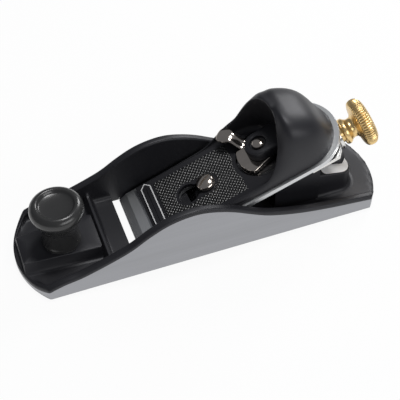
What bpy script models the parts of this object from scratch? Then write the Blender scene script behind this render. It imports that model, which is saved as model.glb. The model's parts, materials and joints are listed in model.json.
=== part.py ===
"""Block plane, 178 mm long, with a fixed mouth and a blade bedded at 21 degrees.

World frame: origin on the sole under the middle of the body, +X from the toe to the heel,
+Y to the plane's left side, +Z up. Everything that lies on the bed is built in the bed frame: its X runs
up the bed from the cutting edge, its Z stands square to the blade, and an empty carries it to its place.
"""
import math

import bmesh
import bpy
import numpy as np
from mathutils import Matrix, Vector

MM = 0.001

# ---- driving dimensions, millimetres and degrees ----
GAP = 0.3                # clearance between pieces that touch
SOLE_LENGTH = 178.0
BODY_WIDTH = 51.0
FLOOR = 3.8              # thickness of the sole plate
WALL = 3.8               # side wall
TOE_RADIUS = 37.4        # plan radius of the toe
HEEL_RADIUS = 38.0
# side wall profile: (distance from the middle, height)
RIM = [(-89, 3.9), (-84, 4.7), (-79, 7.0), (-72, 9.4), (-64, 11.0), (-56, 13.6), (-48, 16.6), (-40, 20.2),
       (-32, 25.4), (-24, 29.6),
       (-16, 31.8), (-8, 32.2), (0, 30.4), (8, 27.2), (16, 22.8), (24, 18.6), (32, 15.8), (40, 13.7),
       (56, 10.9), (72, 9.1), (84, 7.8)]
BED_ANGLE = 21.0
EDGE_X = -33.3           # cutting edge, along the sole
EDGE_Z = 0.2             # the edge is set just inside the sole at rest
MOUTH_FRONT = -37.3
MOUTH_SIDE = 0.9          # room for the blade to tilt, at each end of the mouth
CUTTER_WIDTH = 41.3      # a 1 5/8 inch blade
CUTTER_THICK = 2.2
CUTTER_LENGTH = 109.0
CUTTER_END = 18.0        # length of its elliptic end
BEVEL_ANGLE = 25.0
SLOT_WIDTH = 11.2        # blade slot over the lever cap screw
SLOT_FROM, SLOT_TO = 26.0, 68.0
SCREW_U = 41.8           # lever cap screw, along the bed
SCREW_SHANK = 6.0
SCREW_HEAD = 9.0
SCREW_BOSS = 15.0
SCREW_DEPTH = 9.0        # screw length below the blade
CAP_FRONT = 10.6         # lever cap, along the bed
CAP_REAR = 106.6
CAP_END = 18.6           # length of its elliptic end
CAP_HALF = 19.3
CAP_EDGE = 0.8           # thickness of its border
CAP_SHELL = 2.2
KEY_RELEASE = 9.4        # travel that brings the keyhole's wide end to the screw
CAM_U = 71.9             # cam lever rivet, along the bed
CAM_PIT = 13.2           # radius of the opening that the cam turns in
CAM_LOW, CAM_HIGH = 5.2, 7.6
CAM_REACH = 27.5
CAM_REST = 116.0         # direction of the locked lever, from +X of the bed
TONGUE_RADIUS = 6.8
TONGUE_TOP = 13.0
PIT_TOP = 12.0           # the cam's opening runs on under the palm rest to this height
RIVET_SHANK = 3.6
SCOOP_U = 66.0           # the hollow in front of the palm rest
SCOOP_RADIUS = 17.7
STUD_N = -10.8           # adjuster axis below the blade
STUD = 6.0
POST_U = 100.0           # pivot of the adjuster, along the bed
POST_LENGTH, POST_WIDTH = 11.0, 11.0
PIN = 6.0                # pivot pin of the adjuster
PIN_DEPTH = 8.0
CARRIER_U = 77.0
CARRIER_LENGTH, CARRIER_WIDTH = 12.0, 10.0
LUG = 7.4
KNOB_FLANGE_U = 111.2    # brass knob, along the bed
KNOB_DISC_U = 120.6
KNOB_DISC = 24.0
KNOB_DISC_WIDTH = 7.4
KNOB_FLANGE = 13.0
KNOB_NECK = 9.0
LEVER_THICK = 2.0        # lateral lever
LEVER_DROP = 1.0         # its clearance below the blade
BOSS_HALF = 12.5         # heel boss that carries the adjuster
BOSS_DRAFT = 1.5
BOSS_FRONT, BOSS_REAR = 55.0, 75.6
BOSS_TOP = 15.6          # its height under the pivot
BOSS_CORNER = 7.0
RAIL_FRONT, RAIL_REAR = 34.0, 56.5   # rails beside the carrier, which hold up the blade
PAD_TOP = 8.5            # raised pad under the front knob
PAD_HALF = 10.6
PAD_REAR = -50.0
RIB_X = -48.5
RIB_WIDTH = 2.0
KNOB_X = -66.6           # front knob
KNOB_TOP = 33.0
KNOB_CAP = 24.6
KNOB_WAIST = 16.8
KNOB_FOOT = 18.2
KNOB_STUD = 8.0

# ---- values that follow ----
SLOPE = math.tan(math.radians(BED_ANGLE))
COS, SIN = math.cos(math.radians(BED_ANGLE)), math.sin(math.radians(BED_ANGLE))
HALF = BODY_WIDTH / 2
TOE, HEEL = -SOLE_LENGTH / 2, SOLE_LENGTH / 2
INNER = HALF - WALL
CUTTER_HALF = CUTTER_WIDTH / 2
CAP_BASE = CUTTER_THICK + GAP


def bed_height(x):
    """Height of the bed, which is one gap below the underside of the blade, at a distance along the sole."""
    return EDGE_Z + (x - EDGE_X) * SLOPE - GAP / COS


def bed_to_world(u, n, y=0.0):
    """World place of a point of the bed frame."""
    return (EDGE_X + u * COS - n * SIN, y, EDGE_Z + u * SIN + n * COS)


# ---- tools ----
def clear_scene():
    for obj in list(bpy.data.objects):
        bpy.data.objects.remove(obj, do_unlink=True)


def material(name, colour, roughness, metallic):
    mat = bpy.data.materials.new(name)
    mat.use_nodes = True
    shader = mat.node_tree.nodes["Principled BSDF"]
    shader.inputs["Base Color"].default_value = (*colour, 1)
    shader.inputs["Roughness"].default_value = roughness
    shader.inputs["Metallic"].default_value = metallic
    mat.diffuse_color = (*colour, 1)
    return mat


def make_object(name, bm, mat, parent=None, origin=(0, 0, 0)):
    """An object from a bmesh in millimetres of its parent's frame, with its own origin at a chosen point."""
    bmesh.ops.recalc_face_normals(bm, faces=bm.faces)
    bmesh.ops.translate(bm, verts=bm.verts, vec=-Vector(origin))
    bmesh.ops.scale(bm, verts=bm.verts, vec=(MM, MM, MM))
    mesh = bpy.data.meshes.new(name)
    bm.to_mesh(mesh)
    bm.free()
    obj = bpy.data.objects.new(name, mesh)
    bpy.context.collection.objects.link(obj)
    if mat:
        mesh.materials.append(mat)
    obj.parent = parent
    obj.location = Vector(origin) * MM
    return obj


def prism(outline, low, high, plane="XY"):
    """A closed outline carried straight from low to high, across the plane that it is drawn in."""
    bm = bmesh.new()
    place = {"XY": lambda a, b, c: (a, b, c), "XZ": lambda a, b, c: (a, c, b)}[plane]
    bottom = bm.faces.new([bm.verts.new(place(a, b, low)) for a, b in outline])
    grown = bmesh.ops.extrude_face_region(bm, geom=[bottom])["geom"]
    step = Vector(place(0, 0, high - low))
    bmesh.ops.translate(bm, verts=[v for v in grown if isinstance(v, bmesh.types.BMVert)], vec=step)
    return bm


def loft(rings):
    """A closed solid through rings of equally many points, flat at both ends."""
    bm = bmesh.new()
    loops = [[bm.verts.new(p) for p in ring] for ring in rings]
    count = len(loops[0])
    for low, high in zip(loops, loops[1:]):
        for i in range(count):
            j = (i + 1) % count
            bm.faces.new([low[i], low[j], high[j], high[i]])
    bm.faces.new(list(reversed(loops[0])))
    bm.faces.new(loops[-1])
    return bm


def lathe(profile, steps=32, axis="Z", centre=(0, 0, 0)):
    """A profile of (radius, height) points turned about an axis; a zero radius closes an end."""
    bm = bmesh.new()
    turn = Matrix.Rotation(math.radians(90), 4, "Y") if axis == "X" else Matrix.Identity(4)
    verts = [bm.verts.new((r, 0, h)) for r, h in profile]
    edges = [bm.edges.new(pair) for pair in zip(verts, verts[1:])]
    if profile[0][0] > 0 and profile[-1][0] > 0:
        edges.append(bm.edges.new((verts[-1], verts[0])))
    bmesh.ops.spin(bm, geom=verts + edges, axis=(0, 0, 1), cent=(0, 0, 0), angle=math.tau, steps=steps,
                   use_merge=False)
    bmesh.ops.remove_doubles(bm, verts=bm.verts, dist=0.001)
    bmesh.ops.transform(bm, matrix=Matrix.Translation(centre) @ turn, verts=bm.verts)
    return bm


def cylinder(radius, low, high, steps=32, axis="Z", centre=(0, 0, 0)):
    return lathe([(0, low), (radius, low), (radius, high), (0, high)], steps, axis, centre)


def arc(centre, radius, start, end, steps):
    """Points of a circular arc, angles in degrees."""
    angles = np.radians(np.linspace(start, end, steps + 1))
    return [(centre[0] + radius * math.cos(a), centre[1] + radius * math.sin(a)) for a in angles]


def join(target, bm, operation="UNION"):
    """Adds or cuts a bmesh of the target's own frame with an exact boolean, and applies it."""
    tool = make_object(target.name + "_tool", bm, None, target.parent)
    bpy.context.view_layer.update()
    mod = target.modifiers.new(operation.lower(), "BOOLEAN")
    mod.object = tool
    mod.operation = operation
    mod.solver = "EXACT"
    graph = bpy.context.evaluated_depsgraph_get()
    result = bpy.data.meshes.new_from_object(target.evaluated_get(graph))
    target.modifiers.remove(mod)
    old = target.data
    target.data = result
    result.name = target.name
    bpy.data.meshes.remove(old)
    bpy.data.objects.remove(tool, do_unlink=True)


# ---- the body casting ----
def plan_outline():
    """The sole seen from above: two straight sides, a round toe and a round heel."""
    toe_centre, heel_centre = TOE + TOE_RADIUS, HEEL - HEEL_RADIUS
    toe_half = math.degrees(math.asin(HALF / TOE_RADIUS))
    heel_half = math.degrees(math.asin(HALF / HEEL_RADIUS))
    points = arc((toe_centre, 0), TOE_RADIUS, 180 - toe_half, 180 + toe_half, 14)
    points += arc((heel_centre, 0), HEEL_RADIUS, -heel_half, heel_half, 14)
    return points


def rim_height(x):
    """Height of the side walls, a smooth curve through the rim points, flat beyond both ends."""
    xs, zs = np.array(RIM, float).T
    slopes = np.gradient(zs, xs)
    x = np.clip(x, xs[0], xs[-1])
    i = np.clip(np.searchsorted(xs, x) - 1, 0, len(xs) - 2)
    span = xs[i + 1] - xs[i]
    t = (x - xs[i]) / span
    rise = (2 * t**3 - 3 * t**2 + 1) * zs[i] + (t**3 - 2 * t**2 + t) * span * slopes[i]
    return rise + (3 * t**2 - 2 * t**3) * zs[i + 1] + (t**3 - t**2) * span * slopes[i + 1]


def boss_ring(inset, slope_height):
    """One ring of the heel boss: a rectangle with round rear corners, at a height that follows the slope."""
    side, rear, r = BOSS_HALF + inset, BOSS_REAR + inset, BOSS_CORNER
    plan = [(BOSS_FRONT, side), (BOSS_FRONT, -side)]
    plan += arc((rear - r, -side + r), r, -90, 0, 6) + arc((rear - r, side - r), r, 0, 90, 6)
    return [(x, y, slope_height(x)) for x, y in plan]


def build_body(bed, mat):
    body = make_object("body", prism(plan_outline(), 0, 60), mat)
    xs = np.linspace(TOE - 1, HEEL + 1, 73)
    side = [(x, float(rim_height(x))) for x in xs]
    join(body, prism([(TOE - 1, -5)] + side + [(HEEL + 1, -5)], -HALF - 5, HALF + 5, "XZ"), "INTERSECT")
    channel = [(TOE - 5, -INNER), (HEEL + 5, -INNER), (HEEL + 5, INNER), (TOE - 5, INNER)]
    join(body, prism(channel, FLOOR, 80), "DIFFERENCE")
    # mouth: open through the sole in front of the bed
    drop = FLOOR + 1.0
    mouth_rear = EDGE_X + (GAP / COS - EDGE_Z) / SLOPE
    mouth = [(MOUTH_FRONT, -1), (mouth_rear - 1 / SLOPE, -1), (mouth_rear + drop / SLOPE, drop),
             (MOUTH_FRONT - 1.5, drop), (MOUTH_FRONT, 1.5)]
    reach = CUTTER_HALF + MOUTH_SIDE
    join(body, prism(mouth, -reach, reach, "XZ"), "DIFFERENCE")
    # bed behind the mouth, sunk into the walls and the sole plate
    front = mouth_rear + (FLOOR - 0.9) / SLOPE
    rear = front + 21.0
    wedge = [(front, 1.5), (rear, 1.5), (rear, bed_height(rear)), (front, bed_height(front))]
    join(body, prism(wedge, -INNER - 1, INNER + 1, "XZ"))
    # pad under the front knob, and the rib in front of the throat
    toe, draft, taper = TOE + 2.2, 2.8, 2.0
    pad_low = [(toe - 1, -PAD_HALF - draft + taper), (PAD_REAR, -PAD_HALF - draft), (PAD_REAR, PAD_HALF + draft),
               (toe - 1, PAD_HALF + draft - taper)]
    pad_high = [(toe, -PAD_HALF + taper), (PAD_REAR, -PAD_HALF), (PAD_REAR, PAD_HALF), (toe, PAD_HALF - taper)]
    join(body, loft([[(x, y, FLOOR - 1) for x, y in pad_low], [(x, y, PAD_TOP) for x, y in pad_high]]))
    rib = [(RIB_X - RIB_WIDTH, FLOOR - 1), (RIB_X + RIB_WIDTH, FLOOR - 1), (RIB_X + RIB_WIDTH / 2, PAD_TOP + 1),
           (RIB_X - RIB_WIDTH / 2, PAD_TOP + 1)]
    join(body, prism(rib, -INNER - 1, INNER + 1, "XZ"))
    # heel boss, its sloping top, and the two rails that hold the blade above it
    fall = 0.2
    pivot_x = bed_to_world(POST_U, 2 * STUD_N)[0]
    foot = boss_ring(BOSS_DRAFT, lambda x: FLOOR - 1)
    crown = boss_ring(0, lambda x: BOSS_TOP - (x - pivot_x) * fall)
    join(body, loft([foot, crown]))
    rail_in = CARRIER_WIDTH / 2 + 2.4
    for sign in (-1, 1):
        rail = [(RAIL_FRONT, FLOOR - 1), (RAIL_REAR, FLOOR - 1), (RAIL_REAR, bed_height(RAIL_REAR)),
                (RAIL_FRONT, bed_height(RAIL_FRONT))]
        join(body, prism(rail, *sorted((sign * rail_in, sign * BOSS_HALF)), "XZ"))
    # screw boss under the blade
    join(body, bed_solid(cylinder(SCREW_BOSS / 2, -13.5, -GAP, centre=(SCREW_U, 0, 0))))
    join(body, bed_solid(cylinder(SCREW_SHANK / 2 + GAP, -SCREW_DEPTH - GAP, 5, centre=(SCREW_U, 0, 0))),
         "DIFFERENCE")
    # seat and bore of the adjuster's pivot pin
    seat = STUD_N - POST_WIDTH / 2 - GAP
    join(body, bed_solid(cylinder(PIN, seat - PIN_DEPTH - 1.5, seat, centre=(POST_U, 0, 0))))
    join(body, bed_solid(cylinder(PIN / 2 + GAP, seat - PIN_DEPTH - GAP, seat + 5, centre=(POST_U, 0, 0))),
         "DIFFERENCE")
    # bore for the stud of the front knob
    join(body, cylinder(KNOB_STUD / 2 + GAP, FLOOR - 1.0, PAD_TOP + 5, centre=(KNOB_X, 0, 0)), "DIFFERENCE")
    return body


def bed_solid(bm):
    """A solid drawn in the bed frame, carried into the world for the body."""
    turn = Matrix.Rotation(math.radians(-BED_ANGLE), 4, "Y")
    bmesh.ops.transform(bm, matrix=Matrix.Translation((EDGE_X, 0, EDGE_Z)) @ turn, verts=bm.verts)
    return bm


# ---- front knob ----
def build_front_knob(mat, steel):
    foot = PAD_TOP + GAP
    cap, waist, base = KNOB_CAP / 2, KNOB_WAIST / 2, KNOB_FOOT / 2
    profile = [(0, foot), (base, foot), (base - 0.2, foot + 1.2), (waist + 0.1, foot + 4), (waist, foot + 9),
               (waist + 0.9, foot + 12.5), (cap - 1.5, foot + 17.2), (cap, foot + 20.2), (cap - 0.4, KNOB_TOP - 1.9),
               (cap - 1.6, KNOB_TOP - 0.5), (cap - 2.9, KNOB_TOP), (cap - 4.2, KNOB_TOP - 0.5),
               (cap - 6.5, KNOB_TOP - 1.5), (0, KNOB_TOP - 1.9)]
    knob = make_object("front_knob", lathe(profile, 36, centre=(KNOB_X, 0, 0)), mat, origin=(KNOB_X, 0, foot))
    stud_top = foot + 12
    join_local(knob, cylinder(KNOB_STUD / 2 + GAP, -2, stud_top - foot + GAP), "DIFFERENCE")
    stud = cylinder(KNOB_STUD / 2, FLOOR - 1 + GAP, stud_top, 24, centre=(KNOB_X, 0, 0))
    make_object("front_knob_stud", stud, steel, origin=(KNOB_X, 0, foot))


def join_local(target, bm, operation):
    """A boolean with a tool drawn about the target's own origin."""
    bmesh.ops.translate(bm, verts=bm.verts, vec=target.location / MM)
    join(target, bm, operation)


# ---- blade ----
def elliptic_end(rear, length, half, steps):
    """Plan points of a rear end that is half an ellipse, from the right side round to the left."""
    turns = np.radians(np.linspace(-90, 90, steps + 1))
    return [(rear - length + length * math.cos(a), half * math.sin(a)) for a in turns]


def build_cutter(bed, mat):
    bevel = CUTTER_THICK / math.tan(math.radians(BEVEL_ANGLE))
    half = CUTTER_HALF
    outline = [(0.15, half), (0.15, -half)] + elliptic_end(CUTTER_LENGTH, CUTTER_END, half, 28)
    origin = (CARRIER_U, 0, 0)
    blade = make_object("cutter", prism(outline, 0, CUTTER_THICK), mat, bed, origin)
    nose = [(-1, -0.2 + 0.1), (bevel, CUTTER_THICK), (bevel, CUTTER_THICK + 2), (-1, CUTTER_THICK + 2)]
    cut = prism([(u - origin[0], n) for u, n in nose], -half - 1, half + 1, "XZ")
    join_local(blade, cut, "DIFFERENCE")
    r = SLOT_WIDTH / 2
    slot = arc((SLOT_FROM + r, 0), r, 90, 270, 10) + arc((SLOT_TO - r, 0), r, -90, 90, 10)
    join_local(blade, prism([(u - origin[0], y) for u, y in slot], -1, 5), "DIFFERENCE")
    join_local(blade, cylinder(LUG / 2 + GAP, -1, 5), "DIFFERENCE")
    return blade


# ---- lever cap ----
def smooth_curve(points, at):
    """A smooth curve through chosen points, with the slopes of its neighbours."""
    xs, zs = np.array(points, float).T
    slopes = np.gradient(zs, xs)
    at = np.clip(at, xs[0], xs[-1])
    i = np.clip(np.searchsorted(xs, at) - 1, 0, len(xs) - 2)
    span = xs[i + 1] - xs[i]
    t = (at - xs[i]) / span
    value = (2 * t**3 - 3 * t**2 + 1) * zs[i] + (t**3 - 2 * t**2 + t) * span * slopes[i]
    return value + (3 * t**2 - 2 * t**3) * zs[i + 1] + (t**3 - t**2) * span * slopes[i + 1]


# crown of the lever cap above its border, along the bed: the left side is fuller beside the scoop
CROWN_REAR = [(85.5, 26.2), (88.5, 25.5), (91, 24.0), (93.5, 22.3), (95.7, 20.6), (97.8, 18.5), (100, 15.3), (101.8, 11.0),
              (103.4, 6.0), (105, 2.6), (CAP_REAR, 1.2)]
CROWN_LEFT = [(CAP_FRONT, 3.0), (20, 3.4), (36, 4.4), (50, 6.8), (57, 12.8), (60, 15.6), (64, 18.2), (67.5, 19.8),
              (71.3, 22.0), (75, 24.0), (79, 25.8), (82.5, 26.9)] + CROWN_REAR
CROWN_RIGHT = [(CAP_FRONT, 3.0), (20, 3.4), (36, 3.6), (50, 4.0), (57, 4.4), (64, 5.2), (71, 9.6), (78, 16.8), (81.6, 22.4),
               (84, 25.2)] + CROWN_REAR
CROWN_POWER = 3.2


def end_width(u, half, rear, length):
    """Half width along the bed: straight sides, then a rear end that is half an ellipse."""
    return half * np.sqrt(1 - np.clip((u - rear + length) / length, 0, 1) ** 2)


def cap_crown(u, t):
    """Crowned top of the lever cap, a superellipse across it."""
    rise = np.where(t > 0, smooth_curve(CROWN_LEFT, u), smooth_curve(CROWN_RIGHT, u))
    return CAP_BASE + CAP_EDGE + rise * (1 - np.abs(t) ** CROWN_POWER) ** (1 / CROWN_POWER)


def rest_floor(u, y):
    """Finger rest, slightly dished across."""
    return 4.1 + 0.011 * (u - CAP_FRONT) + 0.0035 * y**2


def cap_bottom(u, t):
    """Underside: flat on its border, hollow under the palm rest."""
    inside = (np.abs(t) < 0.86) & (u > SCOOP_U + SCOOP_RADIUS + 3) & (u < CAP_REAR - 4)
    return np.where(inside, np.maximum(CAP_BASE, cap_crown(u, t) - CAP_SHELL - 0.8), CAP_BASE)


def sheet_solid(u, y, low, high):
    """A closed solid between two height fields on one grid, with straight sides."""
    bm = bmesh.new()
    rows, cols = u.shape
    upper = [[bm.verts.new((u[i, j], y[i, j], high[i, j])) for j in range(cols)] for i in range(rows)]
    lower = [[bm.verts.new((u[i, j], y[i, j], low[i, j])) for j in range(cols)] for i in range(rows)]
    for i in range(rows - 1):
        for j in range(cols - 1):
            bm.faces.new([upper[i][j], upper[i + 1][j], upper[i + 1][j + 1], upper[i][j + 1]])
            bm.faces.new([lower[i][j], lower[i][j + 1], lower[i + 1][j + 1], lower[i + 1][j]])
    border = [(i, 0) for i in range(rows)] + [(rows - 1, j) for j in range(1, cols)]
    border += [(i, cols - 1) for i in range(rows - 2, -1, -1)] + [(0, j) for j in range(cols - 2, 0, -1)]
    for (i, j), (k, m) in zip(border, border[1:] + border[:1]):
        bm.faces.new([lower[i][j], lower[k][m], upper[k][m], upper[i][j]])
    return bm


def crown_grid():
    """Grid of the lever cap: across it the lines close up towards the sides, along it towards the rear end."""
    turns = np.sin(np.linspace(0, math.pi / 2, 13)[1:-1]) * CAP_END
    us = np.concatenate([np.linspace(CAP_FRONT, 52, 6), np.linspace(56, CAP_REAR - CAP_END, 11),
                         CAP_REAR - CAP_END + turns])
    ts = np.sin(np.linspace(-1, 1, 21) * math.pi / 2)
    return np.meshgrid(us, ts, indexing="ij")


def scoop_grid():
    """Grid of the scoop: straight sides from the front, then a half round rear."""
    turns = np.sin(np.linspace(0, math.pi / 2, 15)[:-1]) * SCOOP_RADIUS
    us = np.concatenate([np.linspace(CAP_FRONT - 2, SCOOP_U, 7)[:-1], SCOOP_U + turns])
    ts = np.linspace(-1, 1, 13)
    u, t = np.meshgrid(us, ts, indexing="ij")
    return u, t * np.sqrt(SCOOP_RADIUS**2 - np.maximum(u - SCOOP_U, 0) ** 2)


def build_cap(bed, mat):
    u, t = crown_grid()
    bm = sheet_solid(u, t * end_width(u, CAP_HALF, CAP_REAR, CAP_END), cap_bottom(u, t), cap_crown(u, t))
    cap = make_object("lever_cap", bm, mat, bed)
    u, y = scoop_grid()
    join(cap, sheet_solid(u, y, rest_floor(u, y), np.full(u.shape, 40.0)), "DIFFERENCE")
    join(cap, cylinder(CAM_PIT, 0, PIT_TOP, 40, centre=(CAM_U, 0, 0)), "DIFFERENCE")
    tongue = arc((CAM_U, 0), TONGUE_RADIUS, 80, 280, 16)
    tongue += [(SCOOP_U + SCOOP_RADIUS + 2, -TONGUE_RADIUS - 1.0), (SCOOP_U + SCOOP_RADIUS + 2, TONGUE_RADIUS + 1.0)]
    join(cap, prism(tongue, CAM_HIGH + GAP, TONGUE_TOP))
    join(cap, cylinder(RIVET_SHANK / 2 + GAP, 0, 40, 24, centre=(CAM_U, 0, 0)), "DIFFERENCE")
    join(cap, cylinder(RIVET_SHANK / 2 + 2.2, TONGUE_TOP - 1.4, 40, 24, centre=(CAM_U, 0, 0)), "DIFFERENCE")
    notch = arc((CAM_U, 0), CAM_REACH + 1.0, 94, 168, 12) + [(CAM_U - 2, 6)]
    join(cap, prism(notch, CAM_LOW - GAP, 40), "DIFFERENCE")
    narrow, wide = SCREW_SHANK / 2 + GAP, SCREW_HEAD / 2 + 0.9
    key_u = SCREW_U - KEY_RELEASE
    key = arc((SCREW_U, 0), narrow, -90, 90, 8)
    lean = math.degrees(math.asin(narrow / wide))
    key += arc((key_u, 0), wide, lean, 360 - lean, 24)
    join(cap, prism(key, 0, 40), "DIFFERENCE")
    return cap


def build_label(bed, mat):
    """A blank oval-ended plate set along the front of the lever cap."""
    u, half, length = CAP_FRONT + 4.5, 2.6, 15.0
    outline = [(u - half, -length), (u, -length - 2.6), (u + half, -length), (u + half, length),
               (u, length + 2.6), (u - half, length)]
    low = float(rest_floor(u + half, length)) + GAP
    make_object("lever_cap_label", prism(outline, low, low + 0.35), mat, bed)


def build_cap_screw(bed, mat):
    r, head = SCREW_SHANK / 2, SCREW_HEAD / 2
    seat = float(rest_floor(SCREW_U, SCREW_HEAD / 2)) + GAP
    dome = [(head * math.cos(a), seat + 1.1 + 2.0 * math.sin(a)) for a in np.radians((0, 20, 40, 60, 78))]
    profile = [(0, -SCREW_DEPTH), (r, -SCREW_DEPTH), (r, seat), (head, seat)] + dome + [(0, seat + 3.1)]
    screw = make_object("lever_cap_screw", lathe(profile, 32, centre=(SCREW_U, 0, 0)), mat, bed,
                        (SCREW_U, 0, seat))
    slot = prism([(-head - 1, -0.6), (head + 1, -0.6), (head + 1, 0.6), (-head - 1, 0.6)], 1.9, 5)
    join_local(screw, slot, "DIFFERENCE")
    return screw


def build_cam(bed, chrome, spring):
    """The cam lever with its finger tab, its rivet, and the pressure plate that it bears on."""
    origin = (CAM_U, 0, 0)
    r = RIVET_SHANK / 2
    hub, lobe, waist = 7.4, 12.2, 3.4
    outline = arc((0, 0), hub, -60, CAM_REST - 26, 12)
    way = math.radians(CAM_REST)
    along, across = Vector((math.cos(way), math.sin(way))), Vector((-math.sin(way), math.cos(way)))
    arm = [(12, -waist), (CAM_REACH - 9, -waist - 0.4), (CAM_REACH - 7, -waist - 1.8), (CAM_REACH - 1.5, -waist - 1.8),
           (CAM_REACH, -waist), (CAM_REACH, waist), (CAM_REACH - 2, waist + 1.6), (CAM_REACH - 9, waist), (12, waist)]
    outline += [tuple(along * a + across * b) for a, b in arm]
    outline += arc((0, 0), lobe, CAM_REST + 34, CAM_REST + 118, 12)
    lever = make_object("cam_lever", prism([(CAM_U + x, y) for x, y in outline], CAM_LOW, CAM_HIGH), chrome, bed,
                        origin)
    join_local(lever, cylinder(r + GAP, 0, 20, 24), "DIFFERENCE")
    low = CAP_BASE + 0.3
    top = TONGUE_TOP - 1.4 + GAP
    profile = [(0, low), (r, low), (r, top), (r + 1.0, top), (r + 0.9, top + 0.9), (r + 0.2, top + 1.5),
               (0, top + 1.7)]
    make_object("cam_lever_rivet", lathe(profile, 24, centre=(CAM_U, 0, 0)), chrome, bed, origin)
    plate = lathe([(r + GAP, CAP_BASE), (CAM_PIT - 0.6, CAP_BASE), (CAM_PIT - 0.6, CAM_LOW - GAP - 0.2),
                   (r + GAP, CAM_LOW - GAP - 0.2)], 36, centre=(CAM_U, 0, 0))
    make_object("pressure_plate", plate, spring, bed, origin)


# ---- adjuster ----
def build_adjuster(bed, steel, brass):
    r = STUD / 2
    half, wide = POST_LENGTH / 2, POST_WIDTH / 2
    pivot = (POST_U, 0, STUD_N)
    post = [(POST_U - half, -wide), (POST_U + half, -wide), (POST_U + half, wide), (POST_U - half, wide)]
    block = make_object("adjuster_post", prism(post, STUD_N - wide, STUD_N + wide - 0.6), steel, bed, pivot)
    top = -LEVER_DROP - LEVER_THICK - GAP - STUD_N
    join_local(block, prism([(-2, -3), (half, -3), (half, 3), (-2, 3)], wide - 1.6, top), "UNION")
    join_local(block, cylinder(PIN / 2, -wide - PIN_DEPTH - 0.3, -r - 1.2, 24), "UNION")
    join_local(block, cylinder(r + GAP, -20, 20, 24, "X"), "DIFFERENCE")

    half, wide = CARRIER_LENGTH / 2, CARRIER_WIDTH / 2
    low, high = STUD_N - 4.6, -GAP
    plan = [(CARRIER_U - half, -wide), (CARRIER_U + half, -wide), (CARRIER_U + half, wide), (CARRIER_U - half, wide)]
    carrier = make_object("blade_carrier", prism(plan, low, high), steel, bed, (CARRIER_U, 0, STUD_N))
    join_local(carrier, cylinder(LUG / 2, 2, CUTTER_THICK - 0.2 - STUD_N, 24), "UNION")
    join_local(carrier, cylinder(r + GAP, -20, 20, 24, "X"), "DIFFERENCE")

    end = KNOB_DISC_U + KNOB_DISC_WIDTH / 2
    stud = lathe([(0, CARRIER_U - half - 2), (r - 0.6, CARRIER_U - half - 2), (r, CARRIER_U - half - 1.2),
                  (r, end - 1.5), (0, end - 1.5)], 24, "X", (0, 0, STUD_N))
    make_object("adjuster_stud", stud, steel, bed, pivot)
    collar_u = POST_U - POST_LENGTH / 2 - GAP
    collar = lathe([(r + GAP, collar_u - 2.2), (r + 1.9, collar_u - 2.2), (r + 1.9, collar_u), (r + GAP, collar_u)],
                   24, "X", (0, 0, STUD_N))
    make_object("stud_collar", collar, steel, bed, pivot)

    front = POST_U + POST_LENGTH / 2 + GAP
    build_lateral_lever(bed, steel)
    washer = lathe([(KNOB_NECK / 2 + GAP, front + 0.5), (KNOB_NECK / 2 + 2.6, front + 0.5),
                    (KNOB_NECK / 2 + 2.6, front + 2.3), (KNOB_NECK / 2 + GAP, front + 2.3)], 28, "X", (0, 0, STUD_N))
    make_object("thrust_washer", washer, steel, bed, pivot)

    disc, flange, neck, w = KNOB_DISC / 2, KNOB_FLANGE / 2, KNOB_NECK / 2, KNOB_DISC_WIDTH / 2
    u = KNOB_DISC_U
    profile = [(r + GAP, front), (neck, front), (neck, KNOB_FLANGE_U - 1.4), (flange - 0.7, KNOB_FLANGE_U - 1.4),
               (flange, KNOB_FLANGE_U - 0.4), (flange, KNOB_FLANGE_U + 0.6), (flange - 1.2, KNOB_FLANGE_U + 1.4),
               (neck + 0.6, KNOB_FLANGE_U + 2.4), (neck + 0.4, u - w - 1.4), (neck + 1.8, u - w - 0.4),
               (disc - 3.2, u - w + 0.3), (disc - 1.6, u - w + 0.6), (disc - 0.4, u - w + 1.9), (disc, u - 0.4),
               (disc - 0.2, u + w - 2.4), (disc - 1.2, u + w - 0.8), (disc - 3, u + w), (r + 2.6, u + w),
               (r + 2.2, u + w - 0.8), (0, u + w - 0.8), (0, end - 1.5 + GAP), (r + GAP, end - 1.5 + GAP)]
    knob = lathe_closed(profile, 40, (0, 0, STUD_N))
    make_object("depth_knob", knob, brass, bed, pivot)


def build_lateral_lever(bed, mat):
    """A flat lever on top of the adjuster post, whose arm shows under the right side of the blade."""
    top = -LEVER_DROP
    low = top - LEVER_THICK
    rear, side = POST_U + POST_LENGTH / 2, -CUTTER_HALF + 1.6
    plan = [(rear - 5.4, 3.5), (rear, 3.5), (rear, -6), (rear + 0.5, -9.5), (rear - 1.5, side + 3.4), (rear - 4, side),
            (rear - 18, side), (rear - 18, side + 4.2), (rear - 8, side + 5.0), (rear - 5.4, side + 8)]
    make_object("lateral_lever", prism(plan, low, top), mat, bed, (POST_U, 0, STUD_N))


def lathe_closed(profile, steps, centre):
    """A closed profile of (radius, place) points turned about the bed frame's X; it may touch the axis."""
    bm = bmesh.new()
    verts = [bm.verts.new((r, 0, h)) for r, h in profile]
    edges = [bm.edges.new(pair) for pair in zip(verts, verts[1:] + verts[:1])
             if pair[0].co.x > 0 or pair[1].co.x > 0]
    bmesh.ops.spin(bm, geom=verts + edges, axis=(0, 0, 1), cent=(0, 0, 0), angle=math.tau, steps=steps,
                   use_merge=False)
    bmesh.ops.remove_doubles(bm, verts=bm.verts, dist=0.001)
    turn = Matrix.Rotation(math.radians(90), 4, "Y")
    bmesh.ops.transform(bm, matrix=Matrix.Translation(centre) @ turn, verts=bm.verts)
    return bm


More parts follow.
